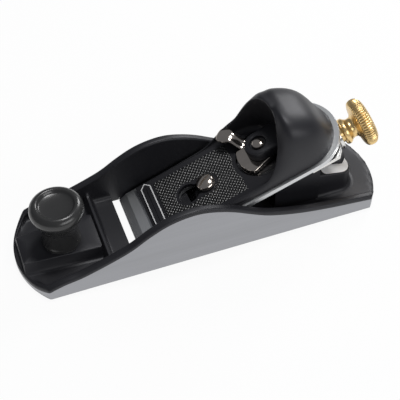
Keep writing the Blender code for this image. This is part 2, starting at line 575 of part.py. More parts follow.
def main():
    clear_scene()
    enamel = material("black_enamel", (0.012, 0.012, 0.013), 0.22, 0.0)
    plastic = material("black_plastic", (0.02, 0.02, 0.022), 0.3, 0.0)
    steel = material("ground_steel", (0.62, 0.63, 0.65), 0.28, 1.0)
    nickel = material("nickel", (0.72, 0.69, 0.64), 0.12, 1.0)
    brass = material("brass", (0.83, 0.6, 0.28), 0.22, 1.0)
    paint = material("label_paint", (0.8, 0.8, 0.8), 0.4, 0.0)
    bed = bpy.data.objects.new("bed_frame", None)
    bpy.context.collection.objects.link(bed)
    bed.location = (EDGE_X * MM, 0, EDGE_Z * MM)
    bed.rotation_euler = (0, math.radians(-BED_ANGLE), 0)
    bpy.context.view_layer.update()
    build_body(bed, enamel)
    build_front_knob(plastic, steel)
    build_cutter(bed, steel)
    build_cap(bed, enamel)
    build_label(bed, paint)
    build_cap_screw(bed, nickel)
    build_cam(bed, nickel, steel)
    build_adjuster(bed, steel, brass)


main()
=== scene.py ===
"""Looks of a block plane: cast body, low-set blade, lever cap with cam lock and palm rest, front knob, brass
depth knob. Lengths are in metres in the object's frame; the shape functions work in millimetres and scale once."""
import json
import math

import bmesh
import bpy
import numpy as np
from mathutils import Matrix, Vector

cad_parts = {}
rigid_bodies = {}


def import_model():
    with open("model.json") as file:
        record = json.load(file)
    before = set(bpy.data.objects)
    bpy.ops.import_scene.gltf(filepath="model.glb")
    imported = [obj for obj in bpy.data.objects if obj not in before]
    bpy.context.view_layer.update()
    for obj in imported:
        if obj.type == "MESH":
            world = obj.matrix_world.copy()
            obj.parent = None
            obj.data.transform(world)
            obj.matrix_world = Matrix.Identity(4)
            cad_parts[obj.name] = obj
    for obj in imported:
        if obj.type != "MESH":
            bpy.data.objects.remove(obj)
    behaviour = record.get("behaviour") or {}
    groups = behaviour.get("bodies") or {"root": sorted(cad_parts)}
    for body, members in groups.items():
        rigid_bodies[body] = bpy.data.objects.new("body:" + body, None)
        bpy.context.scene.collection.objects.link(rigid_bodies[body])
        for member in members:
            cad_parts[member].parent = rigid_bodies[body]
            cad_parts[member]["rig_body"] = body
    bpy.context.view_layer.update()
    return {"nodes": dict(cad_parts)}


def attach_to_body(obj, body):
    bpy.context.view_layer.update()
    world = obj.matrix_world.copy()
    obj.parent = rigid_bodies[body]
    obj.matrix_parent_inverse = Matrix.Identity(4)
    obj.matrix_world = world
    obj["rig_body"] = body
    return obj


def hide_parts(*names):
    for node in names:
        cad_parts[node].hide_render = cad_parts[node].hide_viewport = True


bl_info = {
    "name": "Block Plane",
    "version": (1, 0, 0),
    "blender": (4, 5, 0),
    "location": "View3D > Sidebar > Block Plane",
    "description": "Builds the visible pieces of a block plane over its packed frame",
    "category": "Add Mesh",
}

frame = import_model()
NODES = frame["nodes"]
MM = 0.001

# ---- lengths shared by several pieces, millimetres and degrees ----
LENGTH, HALF = 178.0, 25.5
TOE, HEEL = -LENGTH / 2, LENGTH / 2
TOE_RADIUS, HEEL_RADIUS = 37.4, 38.0
FLOOR, WALL = 3.8, 3.8
# side wall: (distance from the middle, height)
RIM = [(-89, 3.9), (-84, 4.7), (-79, 7.0), (-72, 9.4), (-64, 11.0), (-56, 13.6), (-48, 16.6), (-40, 20.2),
       (-32, 25.4), (-24, 29.6), (-16, 31.8), (-8, 32.2), (0, 30.4), (8, 27.2), (16, 22.8), (24, 18.6), (32, 15.8), (40, 13.7),
       (56, 10.9), (72, 9.1), (84, 7.8)]
BED_ANGLE = math.radians(21.0)
EDGE_X, EDGE_Z = -33.3, 0.2
MOUTH_FRONT = -37.3
MOUTH_REAR = -33.0
CAP_FRONT, CAP_REAR, CAP_END, CAP_HALF = 10.6, 106.6, 18.6, 19.3
CAP_BASE, CAP_EDGE = 2.5, 0.8
SCOOP_U, SCOOP_RADIUS = 66.0, 17.7
CROWN_POWER = 3.2
CROWN_REAR = [(85.5, 26.2), (88.5, 25.5), (91, 24.0), (93.5, 22.3), (95.7, 20.6), (97.8, 18.5), (100, 15.3),
              (101.8, 11.0), (103.4, 6.0), (105, 2.6), (CAP_REAR, 1.2)]
CROWN_LEFT = [(CAP_FRONT, 3.0), (20, 3.4), (36, 4.4), (50, 6.8), (57, 12.8), (60, 15.6), (64, 18.2), (67.5, 19.8),
              (71.3, 22.0), (75, 24.0), (79, 25.8), (82.5, 26.9)] + CROWN_REAR
CROWN_RIGHT = [(CAP_FRONT, 3.0), (20, 3.4), (36, 3.6), (50, 4.0), (57, 4.4), (64, 5.2), (71, 9.6), (78, 16.8),
               (81.6, 22.4), (84, 25.2)] + CROWN_REAR
SCREW_U, KEY_TRAVEL = 41.8, 9.4
CAM_U, CAM_PIT, CAM_REST, ARM_WAY = 71.9, 13.2, 116.0, 128.0
CAM_LOW, CAM_HIGH = 5.2, 7.6
TONGUE_RADIUS, TONGUE_TOP = 6.8, 13.0
STUD_N, POST_U = -10.8, 100.0
KNOB_FLANGE_U, KNOB_DISC_U, KNOB_DISC = 111.2, 120.6, 24.0
KNOB_X, PAD_TOP = -66.6, 8.5
BOSS_HALF, BOSS_FRONT, BOSS_REAR, BOSS_TOP, BOSS_CORNER = 12.5, 55.0, 75.6, 15.6, 7.0
BOSS_DEPTH = 11.0          # height of its drafted side
RAIL_FRONT, RAIL_REAR = 34.0, 56.5
BED_END = MOUTH_REAR + 29.0          # where the bed drops to the floor
RIB_X = [-51.6, -50.9, -50.4, -49.4, -49.0, -48.0, -47.6, -46.6, -46.1, -45.4]
RIB_RISE = [0, 0.15, 0.7, 5.1, 5.6, 5.6, 5.1, 0.7, 0.15, 0]


# ---- properties ----
class BlockPlaneSizes(bpy.types.PropertyGroup):
    """Sizes that a user would change."""
    edge_round: bpy.props.FloatProperty(name="Rim Rounding", description="Radius of the casting's rim",
                                        default=1.15 * MM, unit="LENGTH", precision=5)
    paint_gap: bpy.props.FloatProperty(name="Painted Band", description="Paint left above the ground side",
                                       default=0.9 * MM, unit="LENGTH", precision=5)
    crease_round: bpy.props.FloatProperty(name="Crease Rounding", description="Radius of the palm rest's crease",
                                          default=0.7 * MM, unit="LENGTH", precision=5)
    checker_pitch: bpy.props.FloatProperty(name="Checker Pitch", description="Distance between two points",
                                           default=2.0 * MM, unit="LENGTH", precision=5)
    checker_depth: bpy.props.FloatProperty(name="Checker Depth", description="Depth of the checkering",
                                           default=0.5 * MM, unit="LENGTH", precision=5)
    knurls: bpy.props.IntProperty(name="Knurls", description="Teeth round the depth knob", default=54, min=12)
    lens: bpy.props.FloatProperty(name="Lens", description="Focal length on a 36 mm sensor", default=84.66)


class BlockPlaneColours(bpy.types.PropertyGroup):
    """Colours of the finishes."""
    enamel: bpy.props.FloatVectorProperty(name="Enamel", description="Baked enamel", subtype="COLOR", size=3,
                                          default=(0.0045, 0.0046, 0.0046))
    plastic: bpy.props.FloatVectorProperty(name="Knob Plastic", description="Front knob", subtype="COLOR", size=3,
                                           default=(0.0045, 0.005, 0.005))
    steel: bpy.props.FloatVectorProperty(name="Steel", description="Turned and ground steel", subtype="COLOR", size=3,
                                         default=(0.16, 0.16, 0.165))
    iron: bpy.props.FloatVectorProperty(name="Ground Iron", description="Sides and sole", subtype="COLOR", size=3,
                                        default=(0.36, 0.365, 0.385))
    nickel: bpy.props.FloatVectorProperty(name="Nickel", description="Cam lever and screw", subtype="COLOR", size=3,
                                          default=(0.72, 0.65, 0.58))
    brass: bpy.props.FloatVectorProperty(name="Brass", description="Depth knob", subtype="COLOR", size=3,
                                         default=(0.17, 0.098, 0.036))
    floor: bpy.props.FloatVectorProperty(name="Floor", description="Table top", subtype="COLOR", size=3,
                                         default=(0.92, 0.92, 0.92))


def sizes():
    return bpy.context.scene.block_plane_sizes


def colours():
    return bpy.context.scene.block_plane_colours


# ---- shape tools ----
def on_bed(points):
    """Points (u, y, n) of the blade's bed turned up by the bed angle about the cutting edge."""
    u, y, n = points[..., 0], points[..., 1], points[..., 2]
    c, s = math.cos(BED_ANGLE), math.sin(BED_ANGLE)
    return np.stack([EDGE_X + u * c - n * s, y, EDGE_Z + u * s + n * c], -1)


def smooth_curve(points, at):
    """Cubic through chosen points whose slopes are those of their neighbours."""
    xs, zs = np.array(points, float).T
    slopes = np.gradient(zs, xs)
    at = np.clip(at, xs[0], xs[-1])
    i = np.clip(np.searchsorted(xs, at) - 1, 0, len(xs) - 2)
    span = xs[i + 1] - xs[i]
    t = (at - xs[i]) / span
    value = (2 * t**3 - 3 * t**2 + 1) * zs[i] + (t**3 - 2 * t**2 + t) * span * slopes[i]
    return value + (3 * t**2 - 2 * t**3) * zs[i + 1] + (t**3 - t**2) * span * slopes[i + 1]


def sheet(points, wrap_rows=False, wrap_columns=False, slot=0):
    """A grid of points (rows, columns, 3) as vertices and quads; a wrapped direction joins its last line to the
    first. The slot is one material number or one for each row of quads."""
    rows, cols = points.shape[:2]
    i = np.arange(rows if wrap_rows else rows - 1)
    j = np.arange(cols if wrap_columns else cols - 1)
    a, b = np.meshgrid(i, j, indexing="ij")
    c, d = (a + 1) % rows, (b + 1) % cols
    quads = np.stack([a * cols + b, c * cols + b, c * cols + d, a * cols + d], -1)
    slots = np.broadcast_to(np.reshape(slot, (-1, 1)), quads.shape[:2])
    return points.reshape(-1, 3), quads.reshape(-1, 4), slots.reshape(-1)


def fan(ring, centre, slot=0):
    """A ring of points closed to its centre, which is given twice and merged later."""
    count = len(ring)
    i = np.arange(count)
    quads = np.stack([i, (i + 1) % count, np.full(count, count + 1), np.full(count, count)], -1)
    return np.vstack([ring, [centre], [centre]]), quads, np.full(count, slot)


def make_piece(name, sheets, materials, angle=35.0, merge=0.004):
    """One object from several sheets in millimetres: corners that meet are merged, normals point outwards, and
    edges sharper than the angle stay sharp."""
    verts, faces, slots, start = [], [], [], 0
    for points, quads, slot in sheets:
        verts.append(points)
        faces.append(quads + start)
        slots.append(slot)
        start += len(points)
    mesh = bpy.data.meshes.new(name)
    mesh.from_pydata((np.vstack(verts) * MM).tolist(), [], np.vstack(faces).tolist())
    mesh.polygons.foreach_set("material_index", np.concatenate(slots).astype(np.int32))
    bm = bmesh.new()
    bm.from_mesh(mesh)
    bmesh.ops.remove_doubles(bm, verts=bm.verts, dist=merge * MM)
    bmesh.ops.dissolve_degenerate(bm, edges=bm.edges, dist=0.002 * MM)
    bmesh.ops.recalc_face_normals(bm, faces=bm.faces)
    if bm.calc_volume(signed=True) < 0:
        bmesh.ops.reverse_faces(bm, faces=bm.faces)
    bm.to_mesh(mesh)
    bm.free()
    for mat in materials:
        mesh.materials.append(mat)
    mesh.shade_smooth()
    mesh.set_sharp_from_angle(angle=math.radians(angle))
    obj = bpy.data.objects.new(name, mesh)
    bpy.context.scene.collection.objects.link(obj)
    return obj


def round_edges(obj, width, segments=3, angle=30.0):
    """Bevel on edges sharper than the angle, with its levels the same in view and in render."""
    mod = obj.modifiers.new("Edges", "BEVEL")
    mod.width, mod.segments, mod.limit_method, mod.angle_limit = width * MM, segments, "ANGLE", math.radians(angle)
    mod.miter_outer = "MITER_ARC"
    mod.harden_normals = False
    return obj


def polished_copy(node, name, mat, width, segments=2, angle=30.0):
    """A CAD node's shape with its triangles merged into flat faces and its edges rounded; it stands for the node."""
    source = NODES[node]
    bm = bmesh.new()
    bm.from_mesh(source.data)
    bmesh.ops.remove_doubles(bm, verts=bm.verts, dist=0.002 * MM)
    bmesh.ops.dissolve_limit(bm, angle_limit=math.radians(1.0), verts=bm.verts, edges=bm.edges)
    mesh = bpy.data.meshes.new(name)
    bm.to_mesh(mesh)
    bm.free()
    mesh.materials.append(mat)
    mesh.shade_smooth()
    mesh.set_sharp_from_angle(angle=math.radians(angle))
    obj = bpy.data.objects.new(name, mesh)
    bpy.context.scene.collection.objects.link(obj)
    round_edges(obj, width, segments, angle)
    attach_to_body(obj, source["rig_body"])
    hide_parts(node)
    return obj


def turn(profile, steps, axis="Z", centre=(0, 0, 0), ripple=None, slot=0):
    """A (radius, height) profile turned about an axis: x = r cos a, y = r sin a. A ripple(a, profile) factor scales
    the radius of each point, for knurling."""
    profile = np.array(profile, float)
    a = np.linspace(0, math.tau, steps, endpoint=False)
    r = np.repeat(profile[:, :1], steps, 1)
    if ripple is not None:
        r = r * ripple(a[None, :], profile)
    h = np.repeat(profile[:, 1:], steps, 1)
    x, y = r * np.cos(a), r * np.sin(a)
    points = np.stack([x, y, h], -1) if axis == "Z" else np.stack([h, y, -x], -1)
    return sheet(points + np.array(centre, float), wrap_columns=True, slot=slot)


def cut_with(obj, tool):
    """Cuts one closed piece out of another, and removes the tool."""
    mod = obj.modifiers.new("Cut", "BOOLEAN")
    mod.object, mod.operation, mod.solver = tool, "DIFFERENCE", "MANIFOLD"
    graph = bpy.context.evaluated_depsgraph_get()
    made = bpy.data.meshes.new_from_object(obj.evaluated_get(graph))
    obj.modifiers.remove(mod)
    obj.data = made
    bpy.data.objects.remove(tool, do_unlink=True)
    made.set_sharp_from_angle(angle=math.radians(32))


def arc(centre, radius, start, end, steps):
    """Plan points of a circular arc, angles in degrees."""
    a = np.radians(np.linspace(start, end, steps + 1))
    return np.stack([centre[0] + radius * np.cos(a), centre[1] + radius * np.sin(a)], -1)


def plate(name, outline, low, high, mat, place=on_bed):
    """A plan outline raised straight from low to high, closed by one face at each end."""
    outline = np.array(outline, float)
    count = len(outline)
    both = np.stack([np.column_stack([outline, np.full(count, h)]) for h in (low, high)])
    points = place(both)
    bm = bmesh.new()
    rings = [[bm.verts.new(p * MM) for p in ring] for ring in points]
    for ring in rings:
        bm.faces.new(ring)
    for k in range(count):
        m = (k + 1) % count
        bm.faces.new([rings[0][k], rings[0][m], rings[1][m], rings[1][k]])
    bmesh.ops.recalc_face_normals(bm, faces=bm.faces)
    mesh = bpy.data.meshes.new(name)
    bm.to_mesh(mesh)
    bm.free()
    mesh.materials.append(mat)
    mesh.shade_smooth()
    mesh.set_sharp_from_angle(angle=math.radians(30))
    obj = bpy.data.objects.new(name, mesh)
    bpy.context.scene.collection.objects.link(obj)
    return obj


def attach(obj, body, cad_node=None):
    """A piece moves with a body, and may stand for a CAD node."""
    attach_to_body(obj, body)
    if cad_node:
        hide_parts(cad_node)


# ---- shader groups and materials ----
def new_group(name, inputs, outputs):
    """A shader node group with named float inputs and outputs."""
    group = bpy.data.node_groups.new(name, "ShaderNodeTree")
    for label, default in inputs:
        sock = group.interface.new_socket(label, in_out="INPUT", socket_type="NodeSocketFloat")
        sock.default_value = default
    for label, kind in outputs:
        group.interface.new_socket(label, in_out="OUTPUT", socket_type=kind)
    return group, group.nodes.new("NodeGroupInput"), group.nodes.new("NodeGroupOutput")


def node(tree, kind, **values):
    """A node with its properties and its socket defaults, set by name."""
    made = tree.nodes.new(kind)
    for key, value in values.items():
        if key in made.inputs:
            made.inputs[key].default_value = value
        else:
            setattr(made, key, value)
    return made


def cast_group():
    """Enamel over cast iron: a coarse and a fine noise added to a height, and a slow noise for sheen changes."""
    name = "Cast Surface"
    if name in bpy.data.node_groups:
        return bpy.data.node_groups[name]
    group, given, out = new_group(name, [("Grain", 900.0), ("Amount", 1.0), ("Sheen Low", 0.1), ("Sheen High", 0.2)],
                                  [("Height", "NodeSocketFloat"), ("Sheen", "NodeSocketFloat")])
    link = group.links.new
    place = node(group, "ShaderNodeTexCoord")
    fine = node(group, "ShaderNodeTexNoise", Detail=3.0, Roughness=0.6)
    coarse = node(group, "ShaderNodeTexNoise", Scale=160.0, Detail=2.0)
    slow = node(group, "ShaderNodeTexNoise", Scale=45.0, Detail=3.0)
    for tex in (fine, coarse, slow):
        link(place.outputs["Object"], tex.inputs["Vector"])
    link(given.outputs["Grain"], fine.inputs["Scale"])
    add = node(group, "ShaderNodeMath", operation="MULTIPLY_ADD")
    link(coarse.outputs["Fac"], add.inputs[0])
    add.inputs[1].default_value = 1.6
    link(fine.outputs["Fac"], add.inputs[2])
    amount = node(group, "ShaderNodeMath", operation="MULTIPLY")
    link(add.outputs[0], amount.inputs[0])
    link(given.outputs["Amount"], amount.inputs[1])
    link(amount.outputs[0], out.inputs["Height"])
    sheen = node(group, "ShaderNodeMapRange")
    link(slow.outputs["Fac"], sheen.inputs["Value"])
    sheen.inputs["From Min"].default_value, sheen.inputs["From Max"].default_value = 0.35, 0.65
    link(given.outputs["Sheen Low"], sheen.inputs["To Min"])
    link(given.outputs["Sheen High"], sheen.inputs["To Max"])
    link(sheen.outputs["Result"], out.inputs["Sheen"])
    return group


def ground_group():
    """Grinding marks: noise drawn out along one direction, fine for the scratches and coarse for bands of tone."""
    name = "Grinding Marks"
    if name in bpy.data.node_groups:
        return bpy.data.node_groups[name]
    group, given, out = new_group(name, [("Pitch Angle", 0.0), ("Stretch", 40.0), ("Scale", 1500.0), ("Dark", 0.85),
                                         ("Bright", 1.0), ("Rough Low", 0.2), ("Rough High", 0.35)],
                                  [("Height", "NodeSocketFloat"), ("Tone", "NodeSocketFloat"),
                                   ("Roughness", "NodeSocketFloat")])
    link = group.links.new
    place = node(group, "ShaderNodeTexCoord")
    angle = node(group, "ShaderNodeCombineXYZ")
    link(given.outputs["Pitch Angle"], angle.inputs["Y"])
    turned = node(group, "ShaderNodeVectorRotate", rotation_type="EULER_XYZ")
    link(place.outputs["Object"], turned.inputs["Vector"])
    link(angle.outputs[0], turned.inputs["Rotation"])
    inverse = node(group, "ShaderNodeMath", operation="DIVIDE")
    inverse.inputs[0].default_value = 1.0
    link(given.outputs["Stretch"], inverse.inputs[1])
    scale = node(group, "ShaderNodeCombineXYZ", Y=1.0, Z=1.0)
    link(inverse.outputs[0], scale.inputs["X"])
    drawn = node(group, "ShaderNodeVectorMath", operation="MULTIPLY")
    link(turned.outputs[0], drawn.inputs[0])
    link(scale.outputs[0], drawn.inputs[1])
    fine = node(group, "ShaderNodeTexNoise", Detail=4.0, Roughness=0.7)
    bands = node(group, "ShaderNodeTexNoise", Scale=260.0, Detail=3.0)
    link(drawn.outputs[0], fine.inputs["Vector"])
    link(drawn.outputs[0], bands.inputs["Vector"])
    link(given.outputs["Scale"], fine.inputs["Scale"])
    link(fine.outputs["Fac"], out.inputs["Height"])
    mixed = node(group, "ShaderNodeMath", operation="ADD")
    link(fine.outputs["Fac"], mixed.inputs[0])
    link(bands.outputs["Fac"], mixed.inputs[1])
    for low, high, end in (("Dark", "Bright", "Tone"), ("Rough Low", "Rough High", "Roughness")):
        spread = node(group, "ShaderNodeMapRange")
        spread.inputs["From Min"].default_value, spread.inputs["From Max"].default_value = 0.75, 1.25
        link(mixed.outputs[0], spread.inputs["Value"])
        link(given.outputs[low], spread.inputs["To Min"])
        link(given.outputs[high], spread.inputs["To Max"])
        link(spread.outputs["Result"], out.inputs[end])
    return group


def place_group(tree, group, **values):
    made = tree.nodes.new("ShaderNodeGroup")
    made.node_tree = group
    for key, value in values.items():
        made.inputs[key.replace("_", " ")].default_value = value
    return made


def blank_material(name, colour, metallic):
    """A Principled material whose plain values sit on the shader's own sockets."""
    mat = bpy.data.materials.new(name)
    mat.use_nodes = True
    shader = mat.node_tree.nodes["Principled BSDF"]
    shader.inputs["Base Color"].default_value = (*colour, 1)
    shader.inputs["Metallic"].default_value = metallic
    mat.diffuse_color = (*colour, 1)
    return mat, mat.node_tree, shader


def enamel_material(name, colour, grain=900.0, bump=0.12, low=0.10, high=0.19, specular=0.2):
    """Baked enamel: a dark, glossy colour with the cast surface showing through."""
    if name in bpy.data.materials:
        return bpy.data.materials[name]
    mat, tree, shader = blank_material(name, colour, 0.0)
    shader.inputs["Specular IOR Level"].default_value = specular
    cast = place_group(tree, cast_group(), Grain=grain, Sheen_Low=low, Sheen_High=high)
    lift = node(tree, "ShaderNodeBump", Strength=bump, Distance=0.0002)
    tree.links.new(cast.outputs["Height"], lift.inputs["Height"])
    tree.links.new(lift.outputs["Normal"], shader.inputs["Normal"])
    tree.links.new(cast.outputs["Sheen"], shader.inputs["Roughness"])
    return mat


def metal_material(name, colour, pitch=0.0, stretch=40.0, scale=1500.0, dark=0.85, bright=1.0, low=0.2, high=0.35,
                   bump=0.08, metallic=1.0):
    """Ground or turned metal: marks drawn along the piece change its tone and gloss and raise a fine bump."""
    if name in bpy.data.materials:
        return bpy.data.materials[name]
    mat, tree, shader = blank_material(name, colour, metallic)
    marks = place_group(tree, ground_group(), Pitch_Angle=pitch, Stretch=stretch, Scale=scale, Dark=dark,
                        Bright=bright, Rough_Low=low, Rough_High=high)
    tint = node(tree, "ShaderNodeMix", data_type="RGBA", blend_type="MULTIPLY")
    tint.inputs["Factor"].default_value = 1.0
    tint.inputs[6].default_value = (*colour, 1)
    tree.links.new(marks.outputs["Tone"], tint.inputs[7])
    tree.links.new(tint.outputs[2], shader.inputs["Base Color"])
    tree.links.new(marks.outputs["Roughness"], shader.inputs["Roughness"])
    lift = node(tree, "ShaderNodeBump", Strength=bump, Distance=0.0001)
    tree.links.new(marks.outputs["Height"], lift.inputs["Height"])
    tree.links.new(lift.outputs["Normal"], shader.inputs["Normal"])
    return mat


def body_enamel():
    return enamel_material("body_enamel", colours().enamel, grain=1100.0, bump=0.22, low=0.13, high=0.24)


def cap_enamel():
    return enamel_material("cap_enamel", colours().enamel, grain=700.0, bump=0.03, low=0.05, high=0.10, specular=0.45)


def ground_iron():
    return metal_material("ground_iron", colours().iron, dark=0.88, low=0.30, high=0.42, stretch=60.0, scale=1200.0)


def blade_steel():
    return metal_material("blade_steel", colours().steel, pitch=BED_ANGLE, stretch=0.03, low=0.36, high=0.5)


def turned_steel():
    return metal_material("turned_steel", colours().steel, pitch=BED_ANGLE, stretch=6.0, low=0.2, high=0.34, dark=0.8)


def nickel():
    return metal_material("nickel_plate", colours().nickel, stretch=2.0, scale=500.0, dark=0.93, low=0.08, high=0.16,
                          bump=0.02)


# ---- casting ----
def casting_rows(x, floor, r, band):
    """All rows of the casting's section for an array of x, from the middle outwards: the floor, a quarter-round
    fillet, the wall's rounded rim, the outer side and the sole. The wall follows the toe's arc, and the heel's arc
    cuts it off."""
    rim = smooth_curve(RIM, x)
    inner, fillet = HALF - WALL, 2.4
    a = np.linspace(0, math.pi / 2, 6)
    one = np.ones_like(x)
    ys, zs = [], []
    for y in (0.0, 6.0, 12.0, 16.0):
        ys.append(y * one)
        zs.append(floor)
    for b in a:
        ys.append((inner - fillet * (1 - math.sin(b))) * one)
        zs.append(np.minimum(floor + fillet * (1 - math.cos(b)), np.maximum(rim - r, floor)))
    for b in a:
        ys.append((inner + r * (1 - math.cos(b))) * one)
        zs.append(np.maximum(rim - r + r * math.sin(b), np.minimum(floor, rim)))
    for b in a[::-1]:
        ys.append((HALF - r * (1 - math.cos(b))) * one)
        zs.append(rim - r + r * math.sin(b))
    ys, zs = np.array(ys), np.array(zs)
    toe = np.sqrt(np.maximum(TOE_RADIUS**2 - np.minimum(x - TOE - TOE_RADIUS, 0) ** 2, 0))
    heel = np.sqrt(np.maximum(HEEL_RADIUS**2 - np.maximum(x - HEEL + HEEL_RADIUS, 0) ** 2, 0))
    lost = HALF - np.minimum(toe, HALF)
    level = inner - fillet
    ys = np.maximum(np.where(ys > level, ys - lost, ys * (1 - lost / level)), 0)
    half = np.minimum(np.minimum(toe, heel), HALF)
    at_edge = np.array([np.interp(h, ys[:, k], zs[:, k]) for k, h in enumerate(half)])
    clipped = ys > half[None, :]
    zs = np.where(clipped, at_edge[None, :], zs)
    ys = np.minimum(ys, half[None, :])
    lip = 0.45 * (half < HALF - 0.01)
    zs = np.where(clipped, zs - lip, zs)
    edge_top = zs[-1]
    sides = [np.maximum(edge_top - band, 0.6), np.full_like(x, 0.35)]
    ys = np.vstack([ys, half, half, np.maximum(half - 0.35, 0)])
    zs = np.vstack([zs, *sides, np.zeros_like(x)])
    return ys, zs


def floor_height(x):
    """Height of the casting's inside floor along it: flat, with the rib in front of the throat and the bed that
    rises behind the mouth."""
    rib = np.interp(x, RIB_X, RIB_RISE)
    bed = (x - MOUTH_REAR) * math.tan(BED_ANGLE)
    bed = np.where((x > MOUTH_REAR - 0.01) & (x < BED_END), bed, 0)
    low = np.where((x >= MOUTH_REAR - 0.01) & (x < MOUTH_REAR + 10.0), 0.0, FLOOR)
    return np.maximum(low + rib, bed)


def casting_part(x, r, band, slots):
    """One length of the casting as a tube of sections, left side mirrored from the right."""
    ys, zs = casting_rows(x, floor_height(x), r, band)
    right = np.stack([np.broadcast_to(x, ys.shape), -ys, zs], -1)
    left = right[::-1] * np.array([1, -1, 1])
    ring = np.concatenate([left[:-1], right], 0)
    return sheet(ring, wrap_rows=True, slot=slots)


class BLOCKPLANE_OT_casting(bpy.types.Operator):
    """Cast body with its rounded rim, throat, rib, knob pad and heel boss"""
    bl_idname = "block_plane.casting"
    bl_label = "Casting"

    def execute(self, context):
        r, band = sizes().edge_round / MM, sizes().paint_gap / MM
        toe_turns = np.radians(np.linspace(0, 44, 26))
        toe_x = TOE + TOE_RADIUS * (1 - np.cos(toe_turns))
        heel_x = HEEL - HEEL_RADIUS * (1 - np.cos(toe_turns[::-1]))
        front = np.concatenate([toe_x, np.arange(toe_x[-1] + 1.5, -52.5, 1.5), RIB_X,
                                np.arange(-44.5, MOUTH_FRONT, 1.5), [MOUTH_FRONT]])
        rear = np.concatenate([np.linspace(MOUTH_REAR, BED_END - 0.01, 24), [BED_END],
                               np.arange(BED_END + 1.5, 76.5, 1.5), heel_x])
        half_rows = len(casting_rows(front, floor_height(front), r, band)[0])
        # paint everywhere but on the outer side below its band and on the sole
        row_slots = np.zeros(2 * half_rows - 1, int)
        row_slots[[0, 1]] = 1
        row_slots[-1] = 1
        row_slots[[2 * half_rows - 3, 2 * half_rows - 4]] = 1
        sheets = [casting_part(front, r, band, row_slots), casting_part(rear, r, band, row_slots)]
        # walls beside the mouth
        gap = np.linspace(MOUTH_FRONT, MOUTH_REAR, 5)
        ys, zs = casting_rows(gap, np.zeros_like(gap), r, band)
        keep = ys[:, 0] >= HALF - WALL - 0.001
        first = int(np.argmax(keep))
        ys, zs = ys[first:], zs[first:]
        zs[0] = 0
        for side in (-1, 1):
            wall = np.stack([np.broadcast_to(gap, ys.shape), side * ys, zs], -1)
            slots = np.zeros(len(ys), int)
            slots[-3:] = 1
            sheets.append(sheet(wall, wrap_rows=True, slot=slots))
        inner = HALF - WALL
        face = np.array([[[MOUTH_FRONT, -inner, 0], [MOUTH_FRONT, inner, 0]],
                         [[MOUTH_FRONT, -inner, FLOOR], [MOUTH_FRONT, inner, FLOOR]]], float)
        sheets.append(sheet(face))
        casting = make_piece("casting", sheets, [body_enamel(), ground_iron()], angle=40)
        attach(casting, "casting", "body")
        for name, maker in (("knob_pad", knob_pad), ("heel_boss", heel_boss), ("blade_supports", blade_supports)):
            piece = maker(name)
            attach(piece, "casting")
        return {"FINISHED"}


def ring_at(half_front, half_rear, front, rear, corners, z, steps=8):
    """Plan ring of a tapered rectangle with round corners: front corners first, then rear ones."""
    cf, cr = corners
    parts = [arc((front + cf, -half_front + cf), cf, 180, 270, steps),
             arc((rear - cr, -half_rear + cr), cr, 270, 360, steps),
             arc((rear - cr, half_rear - cr), cr, 0, 90, steps),
             arc((front + cf, half_front - cf), cf, 90, 180, steps)]
    plan = np.vstack(parts)
    height = z(plan[:, 0]) if callable(z) else np.full(len(plan), z)
    return np.column_stack([plan, height])


def swell(base, depth, flare):
    """Insets and heights for the side of a raised block: a rounded top edge, drafted side and flared foot."""
    r = 0.7
    a = np.linspace(math.pi / 2, 0, 5)
    rows = [(-r * (1 - math.cos(b)), -r * (1 - math.sin(b))) for b in a]
    rows += [(base - flare * 0.7, -depth + flare * 1.1), (base - flare * 0.35, -depth + flare * 0.4),
             (base + flare * 0.25, -depth + flare * 0.08), (base + flare, -depth - 0.02)]
    return rows


def knob_pad(name):
    """Raised pad under the front knob: rings of one tapered plan that shrink and rise from a flared foot."""
    rings = []
    for out, down in swell(2.8, PAD_TOP - FLOOR, 1.2)[::-1]:
        ring = ring_at(8.6 + out, 10.6 + out, TOE + 2.2 - out * 0.3, -50.0 + out * 0.3, (1.2, 1.2), PAD_TOP + down)
        toe = TOE + TOE_RADIUS - np.sqrt(TOE_RADIUS**2 - ring[:, 1] ** 2)
        ring[:, 0] = np.maximum(ring[:, 0], toe + 1.9 - out * 0.4)
        rings.append(ring)
    rings.append(ring_at(4.0, 6.0, TOE + 7, -55.0, (0.6, 0.6), PAD_TOP))
    sheets = [sheet(np.array(rings), wrap_columns=True), fan(rings[-1], (KNOB_X, 0, PAD_TOP))]
    pad = make_piece(name, sheets, [body_enamel()], angle=50)
    return pad


def heel_boss(name):
    """Boss that carries the adjuster: rings of a rectangle with round rear corners; its sloping top is ground, and its
    near-white colour there is a painted highlight.
    """
    pivot_x = EDGE_X + POST_U * math.cos(BED_ANGLE) - 2 * STUD_N * math.sin(BED_ANGLE)

    def top(x):
        return BOSS_TOP - (x - pivot_x) * 0.2

    rings, slots = [], []
    for out, down in swell(1.5, BOSS_DEPTH, 1.6)[::-1]:
        level = FLOOR + BOSS_DEPTH + down if down < -8 else lambda x, d=down: top(x) + d
        half = BOSS_HALF + out
        rings.append(ring_at(half, half, BOSS_FRONT, BOSS_REAR + out, (0.6, BOSS_CORNER + out), level))
        slots.append(0)
    patch = BOSS_FRONT + 4.3
    # the inner rings form the boss top, which takes the near-white painted highlight
    rings.append(ring_at(BOSS_HALF - 0.75, BOSS_HALF - 0.75, patch, BOSS_REAR - 0.75, (2.2, BOSS_CORNER - 0.7), top))
    rings.append(ring_at(5.0, 5.0, patch + 4, BOSS_REAR - 7, (0.4, 2.0), top))
    slots.append(1)
    centre_x = (patch + BOSS_REAR) / 2
    sheets = [sheet(np.array(rings), wrap_columns=True, slot=slots), fan(rings[-1], (centre_x, 0, top(centre_x)), 1)]
    return make_piece(name, sheets, [body_enamel(), painted_highlight_boss_top()], angle=50)


